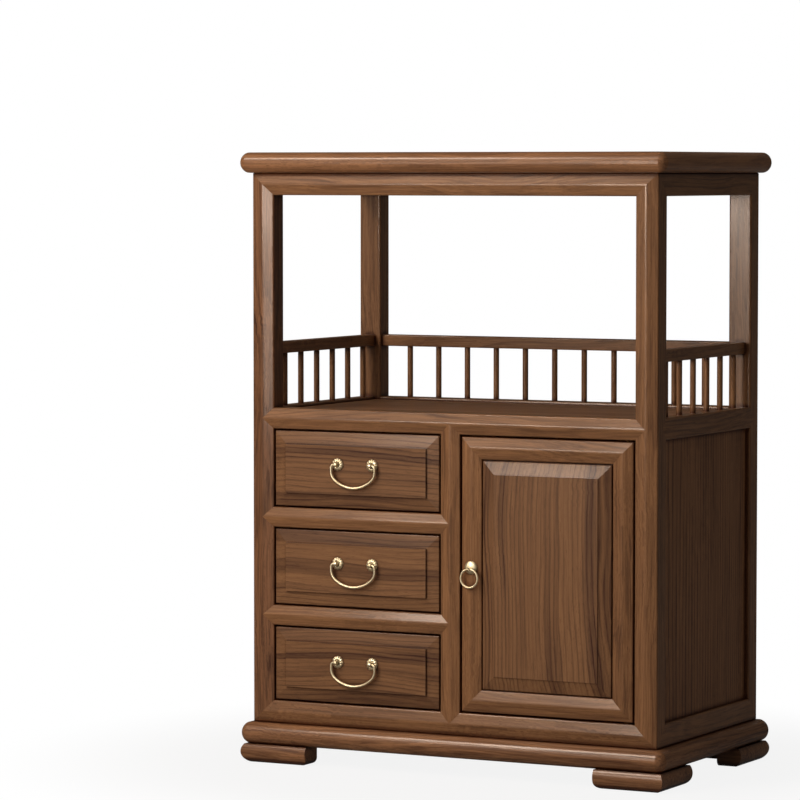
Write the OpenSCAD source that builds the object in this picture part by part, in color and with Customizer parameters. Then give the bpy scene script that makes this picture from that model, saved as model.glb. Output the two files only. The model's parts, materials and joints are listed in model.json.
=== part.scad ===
// Tea cabinet in solid wood: three drawers beside a door, an open display bay above them
// with a low gallery of turned spindles, and brass pulls that hang free.
// Millimetres, Z up, front facing -Y, origin on the floor below the middle of the cabinet.

/* [Overall] */
// Width across the top board and the plinth
overall_w = 800; // [770:1:860]
// Depth across the top board and the plinth
overall_d = 465; // [445:1:500]
// How far the top board and the plinth stand out past the frame
overhang = 20; // [19:0.5:24]

/* [Heights] */
// Height of the feet
foot_h = 32; // [28:1:40]
// Height of the plinth
plinth_h = 38; // [34:1:44]
// Height of the lowest rails of the frame
base_rail_h = 39; // [37:1:46]
// Clear height of the bottom drawer's opening
bottom_open_h = 130; // [115:1:150]
// Clear height of the middle drawer's opening
middle_open_h = 134; // [115:1:150]
// Clear height of the top drawer's opening
top_open_h = 134; // [115:1:150]
// Height of the dividers between the drawers
divider_h = 35; // [32:1:42]
// Height of the rails around the deck of the display bay
deck_rail_h = 36; // [34:1:44]
// Clear height of the display bay
bay_h = 364; // [300:1:420]
// Height of the rails above the display bay
upper_rail_h = 38; // [34:1:46]
// Thickness of the top board
top_t = 35; // [30:1:40]

/* [Frame members] */
// Width of a post across the front
post_w = 41; // [39:1:46]
// Depth of a post from front to back
post_d = 35; // [35:1:42]
// Width of the centre stile
stile_w = 37; // [34:1:42]
// How far the ridge of a front member stands out before it is softened
ridge_h = 5; // [3:0.5:6]
// Radius that softens the ridge
crest_r = 12; // [6:1:20]
// Radius along the edges of the frame members
edge_r = 3; // [1.5:0.5:4]
// Thickness of the side rails of the deck
deck_side_t = 30; // [28:1:34]

/* [Frame joints] */
// Depth of the pointed shoulders, measured in from the front edges
point_d = 12; // [10:0.5:12]
// Wood between the pointed shoulders and the tenons
tenon_back = 2; // [1.5:0.5:2]
// Thickness of the tenons
tenon_t = 12; // [9:0.5:12]
// Length of the tenons
tenon_l = 14; // [10:1:15]
// Width that a tenon gives up at each edge of its member
tenon_edge = 9; // [9:0.5:11]
// Gap around a tenon in its mortise
tenon_gap = 0.1; // [0.05:0.05:0.2]
// Glue line between two pieces that are glued face to face
glue_line = 0.05; // [0.02:0.01:0.1]

/* [Panels] */
// Length of the tongues that hold the panels in their grooves
tongue_l = 8; // [6:0.5:8]
// Gap around a panel in its groove
panel_gap = 0.2; // [0.1:0.05:0.3]
// Thickness of the deck panel
deck_t = 12; // [10:1:14]
// Depth of the deck panel below the rails around it
deck_drop = 5; // [3:1:8]
// Thickness of the deck panel's tongue
deck_tongue_t = 8; // [6:1:9]
// Length of the deck panel's tongue at the sides, where the spindles' dowels stand
deck_side_tongue_l = 5.5; // [4:0.5:5.5]
// Gap around the face of the deck panel
deck_reveal = 0.5; // [0.3:0.1:1]
// Thickness of the side panels
side_panel_t = 10; // [8:1:12]
// Depth of the side panels behind the side faces of the posts
side_panel_inset = 8; // [5:1:10]
// Thickness of the back panel
back_t = 9; // [6:1:10]
// Depth of the back panel behind the back faces of the posts
back_inset = 6; // [4:1:8]
// Thickness of the floor panel
floor_t = 12; // [9:1:12]
// Thickness of the partition between the drawers and the door
partition_t = 14; // [12:1:18]

/* [Top and plinth] */
// Width of the members around the top panel
top_member_w = 75; // [70:1:90]
// Thickness of the top panel
top_panel_t = 18; // [16:1:22]
// Thickness of the top panel's tongue
top_tongue_t = 8; // [6:1:10]
// Gap around the face of the top panel
top_panel_reveal = 0.4; // [0.3:0.1:0.8]
// Width of the plinth's members
plinth_member_w = 60; // [55:1:70]
// How much larger the balls that round the corners are than the half round along the edges
corner_ball_extra = 0.4; // [0.3:0.1:1]

/* [Feet] */
// Length of each arm of a foot
foot_arm = 126; // [110:1:140]
// Thickness of a foot's arms at their widest
foot_t = 45; // [40:1:50]
// Distance of a foot's outer face behind the plinth's
foot_inset = 3; // [2:1:6]
// Height of a foot's widest line
foot_belly_z = 19; // [16:1:21]
// How far a foot tucks in at the floor
foot_tuck_floor = 13.5; // [8:0.5:14]
// How far a foot tucks in under the plinth
foot_tuck_top = 5; // [3:0.5:6]
// Radius at the lower end of each arm
foot_end_r = 11; // [8:1:14]

/* [Gallery] */
// Clear height between the deck's rails and the gallery's rails
gallery_clear_h = 91; // [70:1:120]
// Height of the gallery's rails
gallery_rail_h = 20.5; // [18:0.5:26]
// Thickness of the gallery's rails
gallery_rail_t = 20; // [18:0.5:22]
// Distance of the back rail's centre line from the back of the frame
gallery_inset = 17.5; // [17:0.5:18]
// Diameter of the spindles
spindle_d = 10; // [8:0.5:12]
// Number of spindles along the back
back_spindles = 11; // [9:1:15]
// Distance from a rear post to the middle of the nearest spindle along the back
spindle_end = 52; // [40:1:60]
// Number of spindles along each side, at the same spacing
side_spindles = 6; // [3:1:6]
// How far the spindles along each side stand back from the middle
side_spindle_shift = 6; // [0:1:10]
// Diameter of the spindles' dowel ends
dowel_d = 6; // [5:0.5:7]
// Length of the spindles' dowel ends
dowel_l = 8; // [6:1:10]
// Radial gap around a dowel
dowel_gap = 0.05; // [0.02:0.01:0.1]

/* [Drawers and door] */
// Gap around the drawer fronts and the door
reveal = 2.5; // [1.5:0.25:3]
// Depth of the drawer fronts' and the door's edges behind the front edges of the posts
front_set_back = 1; // [0.5:0.5:2]
// Thickness of a drawer front at its edges
drawer_front_t = 20; // [18:1:24]
// Width of the bevel around a raised field
bevel_w = 23; // [18:1:28]
// Rise of the bevel on a drawer front
drawer_bevel_rise = 3.3; // [2:0.1:4]
// Step from a drawer front's bevel up to its raised field
drawer_field_step = 3; // [2:0.1:4]
// Rise of the bevel on the door's panel
door_bevel_rise = 5; // [3:0.5:6]
// Step from the door panel's bevel up to its raised field
door_field_step = 1.3; // [0.8:0.1:2]
// Radius along the edges of the drawer fronts and the panels
face_edge_r = 2; // [1:0.5:2.5]
// Thickness of the drawers' sides and backs
drawer_side_t = 12; // [10:1:14]
// Space between a closed drawer and the back panel
drawer_rear_space = 29; // [10:1:80]
// Distance of a drawer's side behind the end of its front
drawer_side_in = 1; // [0.5:0.5:2]
// Height that a drawer's sides leave free below the top of the opening
drawer_side_drop = 12; // [8:1:20]
// Thickness of a drawer's floor
drawer_floor_t = 6; // [5:0.5:8]
// Height of a drawer's floor above the lower edge of its sides
drawer_floor_up = 8; // [6:1:12]
// Depth of the groove that holds a drawer's floor
drawer_groove_d = 5; // [4:0.5:6]
// Number of dovetails at each corner of a drawer
dovetails = 3; // [2:1:4]
// Slope of the dovetails' sides, run for a rise of one
dovetail_slope = 0.16; // [0.1:0.01:0.2]
// Share of the height between two dovetails that half a dovetail takes
dovetail_share = 0.3; // [0.25:0.01:0.35]
// Length of the dovetails in the front
dovetail_l = 12; // [9:1:13]
// Height of a drawer's sides above its runners
runner_clear = 0.3; // [0.2:0.05:0.5]
// Gap between a drawer's sides and the guides beside them
guide_clear = 0.7; // [0.5:0.1:1]
// Height of the runners and of the guides on them
runner_h = 14; // [12:1:16]
// Reach of a runner under a drawer's side
runner_reach = 12; // [10:1:14]
// Width of the door's stiles and rails
door_member_w = 38; // [34:1:44]
// Thickness of the door at its edges
door_t = 22; // [20:1:24]
// Depth of the door panel's tongue behind the door's front edges
door_tongue_in = 7; // [6.5:0.5:8]
// Thickness of the door panel's tongue
door_tongue_t = 8; // [6:0.5:8]
// Gap around the face of the door panel
door_quirk = 1.2; // [0.8:0.1:2]
// Diameter of the door's pivot pins
pivot_d = 5; // [4:0.5:5]
// Distance of the pivots from the edge of the door
pivot_in = 12; // [11:0.5:14]
// Distance of the pivots behind the door's front edges
pivot_back = 6.5; // [5.5:0.5:6.5]
// Length of a pivot in the door and in the rail
pivot_l = 12; // [8:1:14]
// Radial gap around a pivot or a pull's pin
pin_gap = 0.06; // [0.03:0.01:0.1]
// Height of the inner shelf above the floor panel
shelf_up = 240; // [150:5:320]
// Thickness of the inner shelf
shelf_t = 14; // [12:1:18]
// Width and height of the battens that carry the shelf
batten = 14; // [12:1:20]

/* [Pulls] */
// Distance between the two posts of a drawer pull
pull_centres = 66; // [60:1:80]
// Distance of a pull's axis below the top of the drawer's opening
pull_drop = 57; // [50:1:60]
// Diameter of a rosette
rosette_d = 22; // [18:0.5:24]
// Height of a rosette's dome
rosette_h = 4.5; // [3.5:0.25:5]
// Thickness of a rosette's scalloped plate
rosette_plate_t = 1.5; // [1:0.1:2]
// Number of scallops around a rosette
scallops = 12; // [10:1:16]
// Width of the rosette's plate left free around its dome
rosette_rim = 0.5; // [0.3:0.1:1]
// Diameter of a bail's bends and corners
bail_wire_d = 4.4; // [4.2:0.1:4.5]
// Diameter of a bail's pins and arms, a little thinner
bail_pin_d = 4.1; // [3.5:0.1:4.1]
// Diameter of a bail's grip, a little thicker
bail_grip_d = 4.8; // [4.6:0.1:5.2]
// Distance from the raised field to the axis of a bail
bail_reach = 8; // [7.75:0.25:8.5]
// Width of a bail between the middles of its arms
bail_w = 83.4; // [80:0.2:88]
// Depth of a bail from its axis to the middle of its grip
bail_drop = 39; // [36:0.5:44]
// Radius of the bends beside the posts
bail_bend_r = 5; // [4:0.5:6]
// Radius of the bends at the lower corners
bail_corner_r = 20; // [16:1:22]
// Straight length of a bail's arm, from the axis
bail_arm = 11; // [8:1:12]
// Diameter of the knuckles that hold the bail
knuckle_d = 8.4; // [8:0.2:9]
// Length of a knuckle along the bail's axis
knuckle_l = 6.4; // [5:0.2:7]
// Diameter of the screws behind the pulls
pull_screw_d = 4; // [3:0.5:5]
// Height of the ring pull's boss above the middle of the door
boss_up = 12; // [0:1:40]
// Diameter of the boss
boss_d = 23; // [20:0.5:26]
// Height of the boss above its seat
boss_h = 5.5; // [4:0.5:6]
// Diameter of the stem that holds the ring
stem_d = 6.8; // [6.4:0.2:8]
// Distance of the ring's axis in front of the door's edges
ring_reach = 10.2; // [10:0.1:11]
// Distance of the ring's axis below the middle of the boss
ring_low = 2; // [0:0.5:3]
// Mean radius of the ring
ring_r = 15.5; // [13:0.5:18]
// Diameter of the ring's wire
ring_wire_d = 4; // [3.4:0.1:4.2]
// Diameter of the ring's pin
ring_pin_d = 2.8; // [2.4:0.1:3]
// Gap between the ring and each side of its stem
ring_gap = 0.5; // [0.4:0.1:0.8]

/* [Hidden] */
wood = [0.46, 0.30, 0.21];
wood_top = [0.58, 0.42, 0.31];
wood_dark = [0.34, 0.22, 0.15];
wood_field = [0.42, 0.26, 0.18];
wood_inner = [0.62, 0.48, 0.34];
brass = [0.86, 0.76, 0.52];

arc_steps = 6;
dome_steps = 9;
bullnose_steps = 20;
fine = 64;
small = 32;
past = 1;

frame_w = overall_w - 2 * overhang;
frame_d = overall_d - 2 * overhang;
frame_x = frame_w / 2;
frame_front = -frame_d / 2;
frame_back = frame_d / 2;
post_x = frame_x - post_w;
front_post_back = frame_front + post_d;
rear_post_front = frame_back - post_d;

frame_z = foot_h + plinth_h;
bottom_open_z = frame_z + base_rail_h;
lower_divider_z = bottom_open_z + bottom_open_h;
middle_open_z = lower_divider_z + divider_h;
upper_divider_z = middle_open_z + middle_open_h;
top_open_z = upper_divider_z + divider_h;
deck_rail_z = top_open_z + top_open_h;
deck_rail_top = deck_rail_z + deck_rail_h;
upper_rail_z = deck_rail_top + bay_h;
board_z = upper_rail_z + upper_rail_h;
overall_h = board_z + top_t;

point_back = frame_front + point_d;
tenon_front = point_d + tenon_back;
tenon_rear = tenon_front + tenon_t;
mortise_end = 0.5;
front_reach = frame_front - ridge_h - past;

deck_top = deck_rail_top - deck_drop;
deck_z = deck_top - deck_t;
floor_top = bottom_open_z - runner_h;
floor_z = floor_top - floor_t;
side_panel_out = frame_x - side_panel_inset;
side_panel_x = side_panel_out - side_panel_t;
back_rear = frame_back - back_inset;
back_front = back_rear - back_t;
partition_x = partition_t / 2;

gallery_z = deck_rail_top + gallery_clear_h;
gallery_back_y = frame_back - gallery_inset;
gallery_side_x = frame_x - post_w / 2;
spindle_pitch = 2 * (post_x - spindle_end) / (back_spindles - 1);
gallery_tenon_t = 10;
gallery_tenon_edge = 4;
gallery_tenon_l = 10;
gallery_edge_r = 2.5;

drawer_open_left = -post_x;
drawer_open_right = -stile_w / 2;
drawer_left = drawer_open_left + reveal;
drawer_right = drawer_open_right - reveal;
front_y = frame_front + front_set_back;
drawer_front_back = front_y + drawer_front_t;
drawer_end = back_front - drawer_rear_space;
field_y = front_y - drawer_bevel_rise - drawer_field_step;
pull_x = (drawer_open_left + drawer_open_right) / 2;
drawer_floor_space = 0.1;

door_left = stile_w / 2 + reveal;
door_right = post_x - reveal;
door_bottom = bottom_open_z + reveal;
door_top = deck_rail_z - reveal;
door_back = front_y + door_t;
pivot_x = door_right - pivot_in;
pivot_y = front_y + pivot_back;
pivot_collar_d = 12;
door_tenon_in = 10;
door_tenon_t = 7;
shelf_z = floor_top + shelf_up;

bail_axis_y = field_y - bail_reach;
boss_x = door_left + door_member_w / 2;
boss_z = (door_bottom + door_top) / 2 + boss_up;
boss_seat = ridge_h * (1 - boss_d / door_member_w);
ring_axis_y = front_y - ring_reach;
ring_axis_z = boss_z - ring_low;
nut_d = 9;
nut_t = 3;
nut_sides = 6;
neck_share = 0.7;

// Points along an arc, from one angle to another
function arc(x, y, r, from, to, steps = arc_steps) =
  [for (i = [0:steps]) let (a = from + (to - from) * i / steps) [x + r * cos(a), y + r * sin(a)]];

// Swaps the two coordinates of every point
function swapped(points) = [for (p = points) [p[1], p[0]]];

// Outline of a member with a soft ridge along the middle of its front.
// The first coordinate runs across the member and the second from front to back.
function ridged_section(w, d, back_r = 0) =
  let (
    slope = atan(ridge_h / (w / 2)),
    edge_v = edge_r * (1 - sin(slope)) / cos(slope),
    crest_v = crest_r / cos(slope) - ridge_h
  )
  concat(
    back_r > 0 ? arc(back_r, d - back_r, back_r, 180, 90) : [[0, d]],
    back_r > 0 ? arc(w - back_r, d - back_r, back_r, 90, 0) : [[w, d]],
    arc(w - edge_r, edge_v, edge_r, 0, slope - 90),
    arc(w / 2, crest_v, crest_r, slope - 90, -slope - 90),
    arc(edge_r, edge_v, edge_r, -slope - 90, -180)
  );

// Outline of a plain member with rounded edges
function plain_section(w, d, r = edge_r) = concat(
  arc(r, r, r, 270, 180),
  arc(r, d - r, r, 180, 90),
  arc(w - r, d - r, r, 90, 0),
  arc(w - r, r, r, 0, -90)
);

// Outline of a panel whose face rises in a bevel and a small step to a flat field
function raised_section(w, d, rise, step) =
  let (
    slope = atan(rise / bevel_w),
    edge_v = face_edge_r * (1 - sin(slope)) / cos(slope)
  )
  concat(
    [[0, d], [w, d]],
    arc(w - face_edge_r, edge_v, face_edge_r, 0, slope - 90),
    [[w - bevel_w, -rise], [w - bevel_w, -rise - step], [bevel_w, -rise - step], [bevel_w, -rise]],
    arc(face_edge_r, edge_v, face_edge_r, -slope - 90, -180)
  );

// Outline of a board that runs from one shoulder to another, with a point at each end.
// Spare widens it between the shoulders.
function pointed_outline(x0, x1, z0, h, tip0, tip1, spare = 0) = concat(
  [[x0 - tip0, z0 + h / 2], [x0, z0]],
  spare > 0 ? [[x0, z0 - spare], [x1, z0 - spare]] : [],
  [[x1, z0], [x1 + tip1, z0 + h / 2], [x1, z0 + h]],
  spare > 0 ? [[x1, z0 + h + spare], [x0, z0 + h + spare]] : [],
  [[x0, z0 + h]]
);

// Half of a dome's outline, with its radius along the first coordinate
function dome_outline(r, base, h) = concat(
  [[0, 0], [r, 0]],
  [for (i = [0:dome_steps]) let (a = 90 * i / dome_steps) [r * cos(a), base + (h - base) * sin(a)]]
);

// Outline of a member with a half round along its outer edge, which lies at zero
function bullnose_section(w, t) = concat(
  arc(t / 2, t / 2, t / 2, 270, 90, bullnose_steps),
  [[w, t], [w, 0]]
);

// Extrusions of outlines drawn in X and Z, in Y and Z, and in X and Y
module across_y(y0, y1) translate([0, y1, 0]) rotate([90, 0, 0]) linear_extrude(y1 - y0) children();
module along_x(x0, x1) translate([x0, 0, 0]) rotate([90, 0, 90]) linear_extrude(x1 - x0) children();
module up_z(z0, z1) translate([0, 0, z0]) linear_extrude(z1 - z0) children();

// Block between two corners given in any order, grown on every side
module block(p, q, grow = 0) {
  low = [for (i = [0:2]) min(p[i], q[i]) - grow];
  high = [for (i = [0:2]) max(p[i], q[i]) + grow];
  translate(low) cube(high - low);
}

// Front members before their joints are cut
module upright(x0, w, z0, z1, back_r = 0)
  up_z(z0, z1) translate([x0, frame_front]) polygon(ridged_section(w, post_d, back_r));
module crossbar(x0, x1, z0, h)
  along_x(x0, x1) translate([frame_front, z0]) polygon(swapped(ridged_section(h, post_d)));

// Places counted inwards from an outer corner of the frame: 0 at the outer face, 1 at the inner
// face of the member. Side is -1 for left and 1 for right, end is -1 for front and 1 for back.
function corner_x(side, a) = side * (frame_x - a * post_w);
function corner_y(end, b) = end * (frame_back - b * post_d);
function corner_z(top, c) = top ? board_z - c * upper_rail_h : frame_z + c * base_rail_h;

// Triangle beside a mitre line, on the side where the first count is smaller, or the second
mitre_past = 0.2;
function mitre_triangle(first_smaller) = [
  [-mitre_past, -mitre_past],
  [1 + mitre_past, 1 + mitre_past],
  first_smaller ? [-mitre_past, 1 + mitre_past] : [1 + mitre_past, -mitre_past]
];

// Cutters for the three planes in which the members of a frame corner meet
module cut_front_mitre(side, top, first_smaller)
  across_y(frame_front - overhang, frame_back + overhang)
    polygon([for (p = mitre_triangle(first_smaller)) [corner_x(side, p[0]), corner_z(top, p[1])]]);
module cut_side_mitre(end, top, first_smaller)
  along_x(-overall_w / 2, overall_w / 2)
    polygon([for (p = mitre_triangle(first_smaller)) [corner_y(end, p[0]), corner_z(top, p[1])]]);
module cut_plan_mitre(side, end, first_smaller)
  up_z(0, overall_h)
    polygon([for (p = mitre_triangle(first_smaller)) [corner_x(side, p[0]), corner_y(end, p[1])]]);

// Square tenon on the end of a post, hidden inside the corner
corner_tenon_from = 0.35;
corner_tenon_to = 0.65;
corner_tenon_tip = 0.18;
module corner_tenon(side, end, top, grow = 0)
  block(
    [corner_x(side, corner_tenon_from), corner_y(end, corner_tenon_from), corner_z(top, corner_tenon_tip)],
    [corner_x(side, corner_tenon_to), corner_y(end, corner_tenon_to), corner_z(top, corner_tenon_to)],
    grow
  );

// Rail between two front members: pointed shoulders in front, a tenon behind each
module pointed_rail(x0, x1, z0, h, tip0, tip1)
  intersection() {
    crossbar(x0 - max(tip0, tenon_l), x1 + max(tip1, tenon_l), z0, h);
    union() {
      across_y(front_reach, point_back)
        polygon(pointed_outline(x0, x1, z0, h, tip0, tip1, past));
      block([x0, point_back, z0 - past], [x1, front_post_back + past, z0 + h + past]);
      block(
        [x0 - tenon_l, frame_front + tenon_front, z0 + tenon_edge],
        [x1 + tenon_l, frame_front + tenon_rear, z0 + h - tenon_edge]
      );
    }
  }

// Socket for one end of such a rail, in the member whose inner face lies at x
module rail_socket(x, side, z0, h, tip) {
  across_y(front_reach, point_back) polygon([
    [x - side * past, z0], [x, z0], [x + side * tip, z0 + h / 2], [x, z0 + h], [x - side * past, z0 + h]
  ]);
  block(
    [x - side * past, frame_front + tenon_front, z0 + tenon_edge],
    [x + side * (tenon_l + mortise_end), frame_front + tenon_rear, z0 + h - tenon_edge],
    tenon_gap
  );
}

// Spaces that the panels and their tongues take up in the frame
module side_panel_block(side, gap = 0)
  block(
    [side * side_panel_x, front_post_back - tongue_l, bottom_open_z - tongue_l],
    [side * side_panel_out, rear_post_front + tongue_l, deck_rail_z + tongue_l],
    gap
  );
module back_panel_block(gap = 0)
  block(
    [-post_x - tongue_l, back_front, bottom_open_z - tongue_l],
    [post_x + tongue_l, back_rear, deck_rail_z + tongue_l],
    gap
  );
// Panel that reaches into grooves on four sides and clears the posts at its corners
module cornered_panel(half_w, half_d, z0, z1, gap, post_gap) {
  block([-half_w, -rear_post_front + post_gap, z0], [half_w, rear_post_front - post_gap, z1], gap);
  block([-post_x + post_gap, -half_d, z0], [post_x - post_gap, half_d, z1], gap);
}
module deck_panel_block(gap = 0)
  cornered_panel(
    frame_x - deck_side_t + deck_side_tongue_l, rear_post_front + tongue_l,
    deck_z, deck_z + deck_tongue_t, gap, panel_gap
  );
module floor_panel_block(gap = 0)
  cornered_panel(post_x + tongue_l, rear_post_front + tongue_l, floor_z, floor_top, gap, panel_gap);

// Cutters for the four panels that the frame's members hold
module panel_grooves() {
  for (side = [-1, 1]) side_panel_block(side, panel_gap);
  back_panel_block(panel_gap);
  deck_panel_block(panel_gap);
  floor_panel_block(panel_gap);
}

// Rail at the top or the bottom of the front or the back, mitred to its posts and side rails
module long_corner_rail(end, top) {
  z0 = top ? upper_rail_z : frame_z;
  h = top ? upper_rail_h : base_rail_h;
  difference() {
    if (end < 0)
      crossbar(-frame_x, frame_x, z0, h);
    else
      along_x(-frame_x, frame_x) translate([rear_post_front, z0]) polygon(plain_section(post_d, h));
    for (side = [-1, 1]) {
      cut_front_mitre(side, top, true);
      cut_plan_mitre(side, end, true);
      corner_tenon(side, end, top, tenon_gap);
    }
    if (!top) panel_grooves();
  }
}

// The two side rails at the top or the bottom of the frame
module side_corner_rails(top) {
  z0 = top ? upper_rail_z : frame_z;
  h = top ? upper_rail_h : base_rail_h;
  for (side = [-1, 1])
    difference() {
      across_y(frame_front, frame_back)
        translate([side < 0 ? -frame_x : post_x, z0]) polygon(plain_section(post_w, h));
      for (end = [-1, 1]) {
        cut_side_mitre(end, top, true);
        cut_plan_mitre(side, end, false);
        corner_tenon(side, end, top, tenon_gap);
      }
      if (!top) panel_grooves();
    }
}

// Layout of the deck's side rails, counted inwards from the side face of the posts
side_point_x = frame_x - point_d;
side_tenon_out = frame_x - tenon_front;
side_tenon_in = frame_x - tenon_rear;
side_tenon_l = post_d - tenon_rear - past;

// Outline in Y and Z of the pointed layer of a deck side rail
function side_point_outline(spare) = pointed_outline(
  -rear_post_front, rear_post_front, deck_rail_z, deck_rail_h, post_d / 2, post_d / 2, spare
);

// Sockets in a post for the deck's side rail
module side_rail_socket(side) {
  along_x(side < 0 ? -frame_x - past : side_point_x, side < 0 ? -side_point_x : frame_x + past)
    polygon(side_point_outline(0));
  block(
    [side * side_tenon_in, -rear_post_front - side_tenon_l - mortise_end, deck_rail_z + tenon_edge],
    [side * side_tenon_out, rear_post_front + side_tenon_l + mortise_end, deck_rail_top - tenon_edge],
    tenon_gap
  );
}

// Tenons of the gallery's rails, which also cut their mortises
module gallery_back_tenon(grow = 0)
  block(
    [-post_x - gallery_tenon_l, gallery_back_y - gallery_tenon_t / 2, gallery_z + gallery_tenon_edge],
    [post_x + gallery_tenon_l, gallery_back_y + gallery_tenon_t / 2,
      gallery_z + gallery_rail_h - gallery_tenon_edge],
    grow
  );
module gallery_side_tenon(side, grow = 0)
  block(
    [side * gallery_side_x - gallery_tenon_t / 2, -rear_post_front - gallery_tenon_l,
      gallery_z + gallery_tenon_edge],
    [side * gallery_side_x + gallery_tenon_t / 2, rear_post_front + gallery_tenon_l,
      gallery_z + gallery_rail_h - gallery_tenon_edge],
    grow
  );

// What every post loses to its mitred corners, rails, panels and gallery
module post_cuts(side, end) {
  for (top = [false, true]) {
    cut_front_mitre(side, top, false);
    cut_side_mitre(end, top, false);
  }
  side_rail_socket(side);
  gallery_side_tenon(side, tenon_gap);
  side_panel_block(side, panel_gap);
}

module post_tenons(side, end)
  for (top = [false, true]) corner_tenon(side, end, top);

module front_post(side) {
  difference() {
    upright(side < 0 ? -frame_x : post_x, post_w, frame_z, board_z, edge_r);
    post_cuts(side, -1);
    rail_socket(side * post_x, side, deck_rail_z, deck_rail_h, post_w / 2);
    if (side < 0)
      for (z = [lower_divider_z, upper_divider_z]) rail_socket(-post_x, side, z, divider_h, post_w / 2);
  }
  post_tenons(side, -1);
}

module rear_post(side) {
  difference() {
    up_z(frame_z, board_z)
      translate([side < 0 ? -frame_x : post_x, rear_post_front]) polygon(plain_section(post_w, post_d));
    post_cuts(side, 1);
    deck_rear_tenon(tenon_gap, mortise_end);
    gallery_back_tenon(tenon_gap);
    back_panel_block(panel_gap);
  }
  post_tenons(side, 1);
}

// Tenons of the deck's rear rail
module deck_rear_tenon(grow = 0, extra = 0)
  block(
    [-post_x - tenon_l - extra, frame_back - tenon_rear, deck_rail_z + tenon_edge],
    [post_x + tenon_l + extra, frame_back - tenon_front, deck_rail_top - tenon_edge],
    grow
  );

module front_left_post() color(wood) front_post(-1);
module front_right_post() color(wood) front_post(1);
module rear_posts() color(wood) for (side = [-1, 1]) rear_post(side);

module upper_front_rail() color(wood) long_corner_rail(-1, true);
module upper_rear_rail() color(wood) long_corner_rail(1, true);
module upper_side_rails() color(wood) side_corner_rails(true);

// Upright bore in a front rail for one of the door's pivots
module pivot_socket(z)
  translate([pivot_x, pivot_y, z])
    cylinder(h = pivot_l + past, d = pivot_d + 2 * pin_gap, $fn = small);

module base_front_rail() color(wood) difference() {
  long_corner_rail(-1, false);
  stile_sockets();
  pivot_socket(bottom_open_z - pivot_l);
}
module base_rear_rail() color(wood) long_corner_rail(1, false);
module base_side_rails() color(wood) side_corner_rails(false);

module deck_front_rail() color(wood) difference() {
  pointed_rail(-post_x, post_x, deck_rail_z, deck_rail_h, post_w / 2, post_w / 2);
  stile_sockets();
  deck_panel_block(panel_gap);
  pivot_socket(deck_rail_z - past);
}

module deck_rear_rail() color(wood) difference() {
  union() {
    along_x(-post_x, post_x)
      translate([rear_post_front, deck_rail_z]) polygon(plain_section(post_d, deck_rail_h));
    deck_rear_tenon();
  }
  deck_panel_block(panel_gap);
  back_panel_block(panel_gap);
  for (x = back_spindle_places()) dowel_bore(x, gallery_back_y, deck_rail_top);
}

module deck_side_rails() color(wood)
  for (side = [-1, 1])
    difference() {
      intersection() {
        across_y(frame_front, frame_back)
          translate([side < 0 ? -frame_x : frame_x - deck_side_t, deck_rail_z])
            polygon(plain_section(deck_side_t, deck_rail_h));
        union() {
          along_x(side < 0 ? -frame_x - past : side_point_x, side < 0 ? -side_point_x : frame_x + past)
            polygon(side_point_outline(past));
          block(
            [0, -rear_post_front, deck_rail_z - past],
            [side * side_point_x, rear_post_front, deck_rail_top + past]
          );
          block(
            [side * side_tenon_in, -rear_post_front - side_tenon_l, deck_rail_z + tenon_edge],
            [side * side_tenon_out, rear_post_front + side_tenon_l, deck_rail_top - tenon_edge]
          );
        }
      }
      deck_panel_block(panel_gap);
      side_panel_block(side, panel_gap);
      for (y = side_spindle_places()) dowel_bore(side * gallery_side_x, y, deck_rail_top);
    }

module deck_panel() color(wood_top) {
  face_x = frame_x - deck_side_t - deck_reveal;
  face_y = rear_post_front - deck_reveal;
  deck_panel_block();
  block([-face_x, -face_y, deck_z], [face_x, face_y, deck_top]);
}

// Both ends of the centre stile: points in front, tenons behind
module stile_ends(gap = 0, extra = 0)
  block(
    [-stile_w / 2 + tenon_edge, frame_front + tenon_front, bottom_open_z - tenon_l - extra],
    [stile_w / 2 - tenon_edge, frame_front + tenon_rear, deck_rail_z + tenon_l + extra],
    gap
  );
stile_outline = swapped(pointed_outline(
  bottom_open_z, deck_rail_z, -stile_w / 2, stile_w, base_rail_h / 2, deck_rail_h / 2
));
module stile_sockets() {
  across_y(front_reach, point_back) polygon(stile_outline);
  stile_ends(tenon_gap, mortise_end);
}

module centre_stile() color(wood) difference() {
  intersection() {
    upright(-stile_w / 2, stile_w, frame_z, deck_rail_top);
    union() {
      across_y(front_reach, point_back) polygon(stile_outline);
      block([-stile_w, point_back, bottom_open_z], [stile_w, front_post_back + past, deck_rail_z]);
      stile_ends();
    }
  }
  for (z = [lower_divider_z, upper_divider_z]) rail_socket(-stile_w / 2, 1, z, divider_h, stile_w / 2);
}

module drawer_dividers() color(wood)
  for (z = [lower_divider_z, upper_divider_z])
    pointed_rail(-post_x, -stile_w / 2, z, divider_h, post_w / 2, stile_w / 2);

module side_panels() color(wood_field) for (side = [-1, 1]) side_panel_block(side);
module back_panel() color(wood_inner) back_panel_block();
module floor_panel() color(wood_inner) floor_panel_block();

module partition() color(wood_inner)
  along_x(-partition_x, partition_x) polygon([
    [front_post_back, floor_top], [rear_post_front, floor_top], [rear_post_front, bottom_open_z],
    [back_front, bottom_open_z], [back_front, deck_rail_z], [rear_post_front, deck_rail_z],
    [rear_post_front, deck_z], [front_post_back, deck_z]
  ]);

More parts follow.
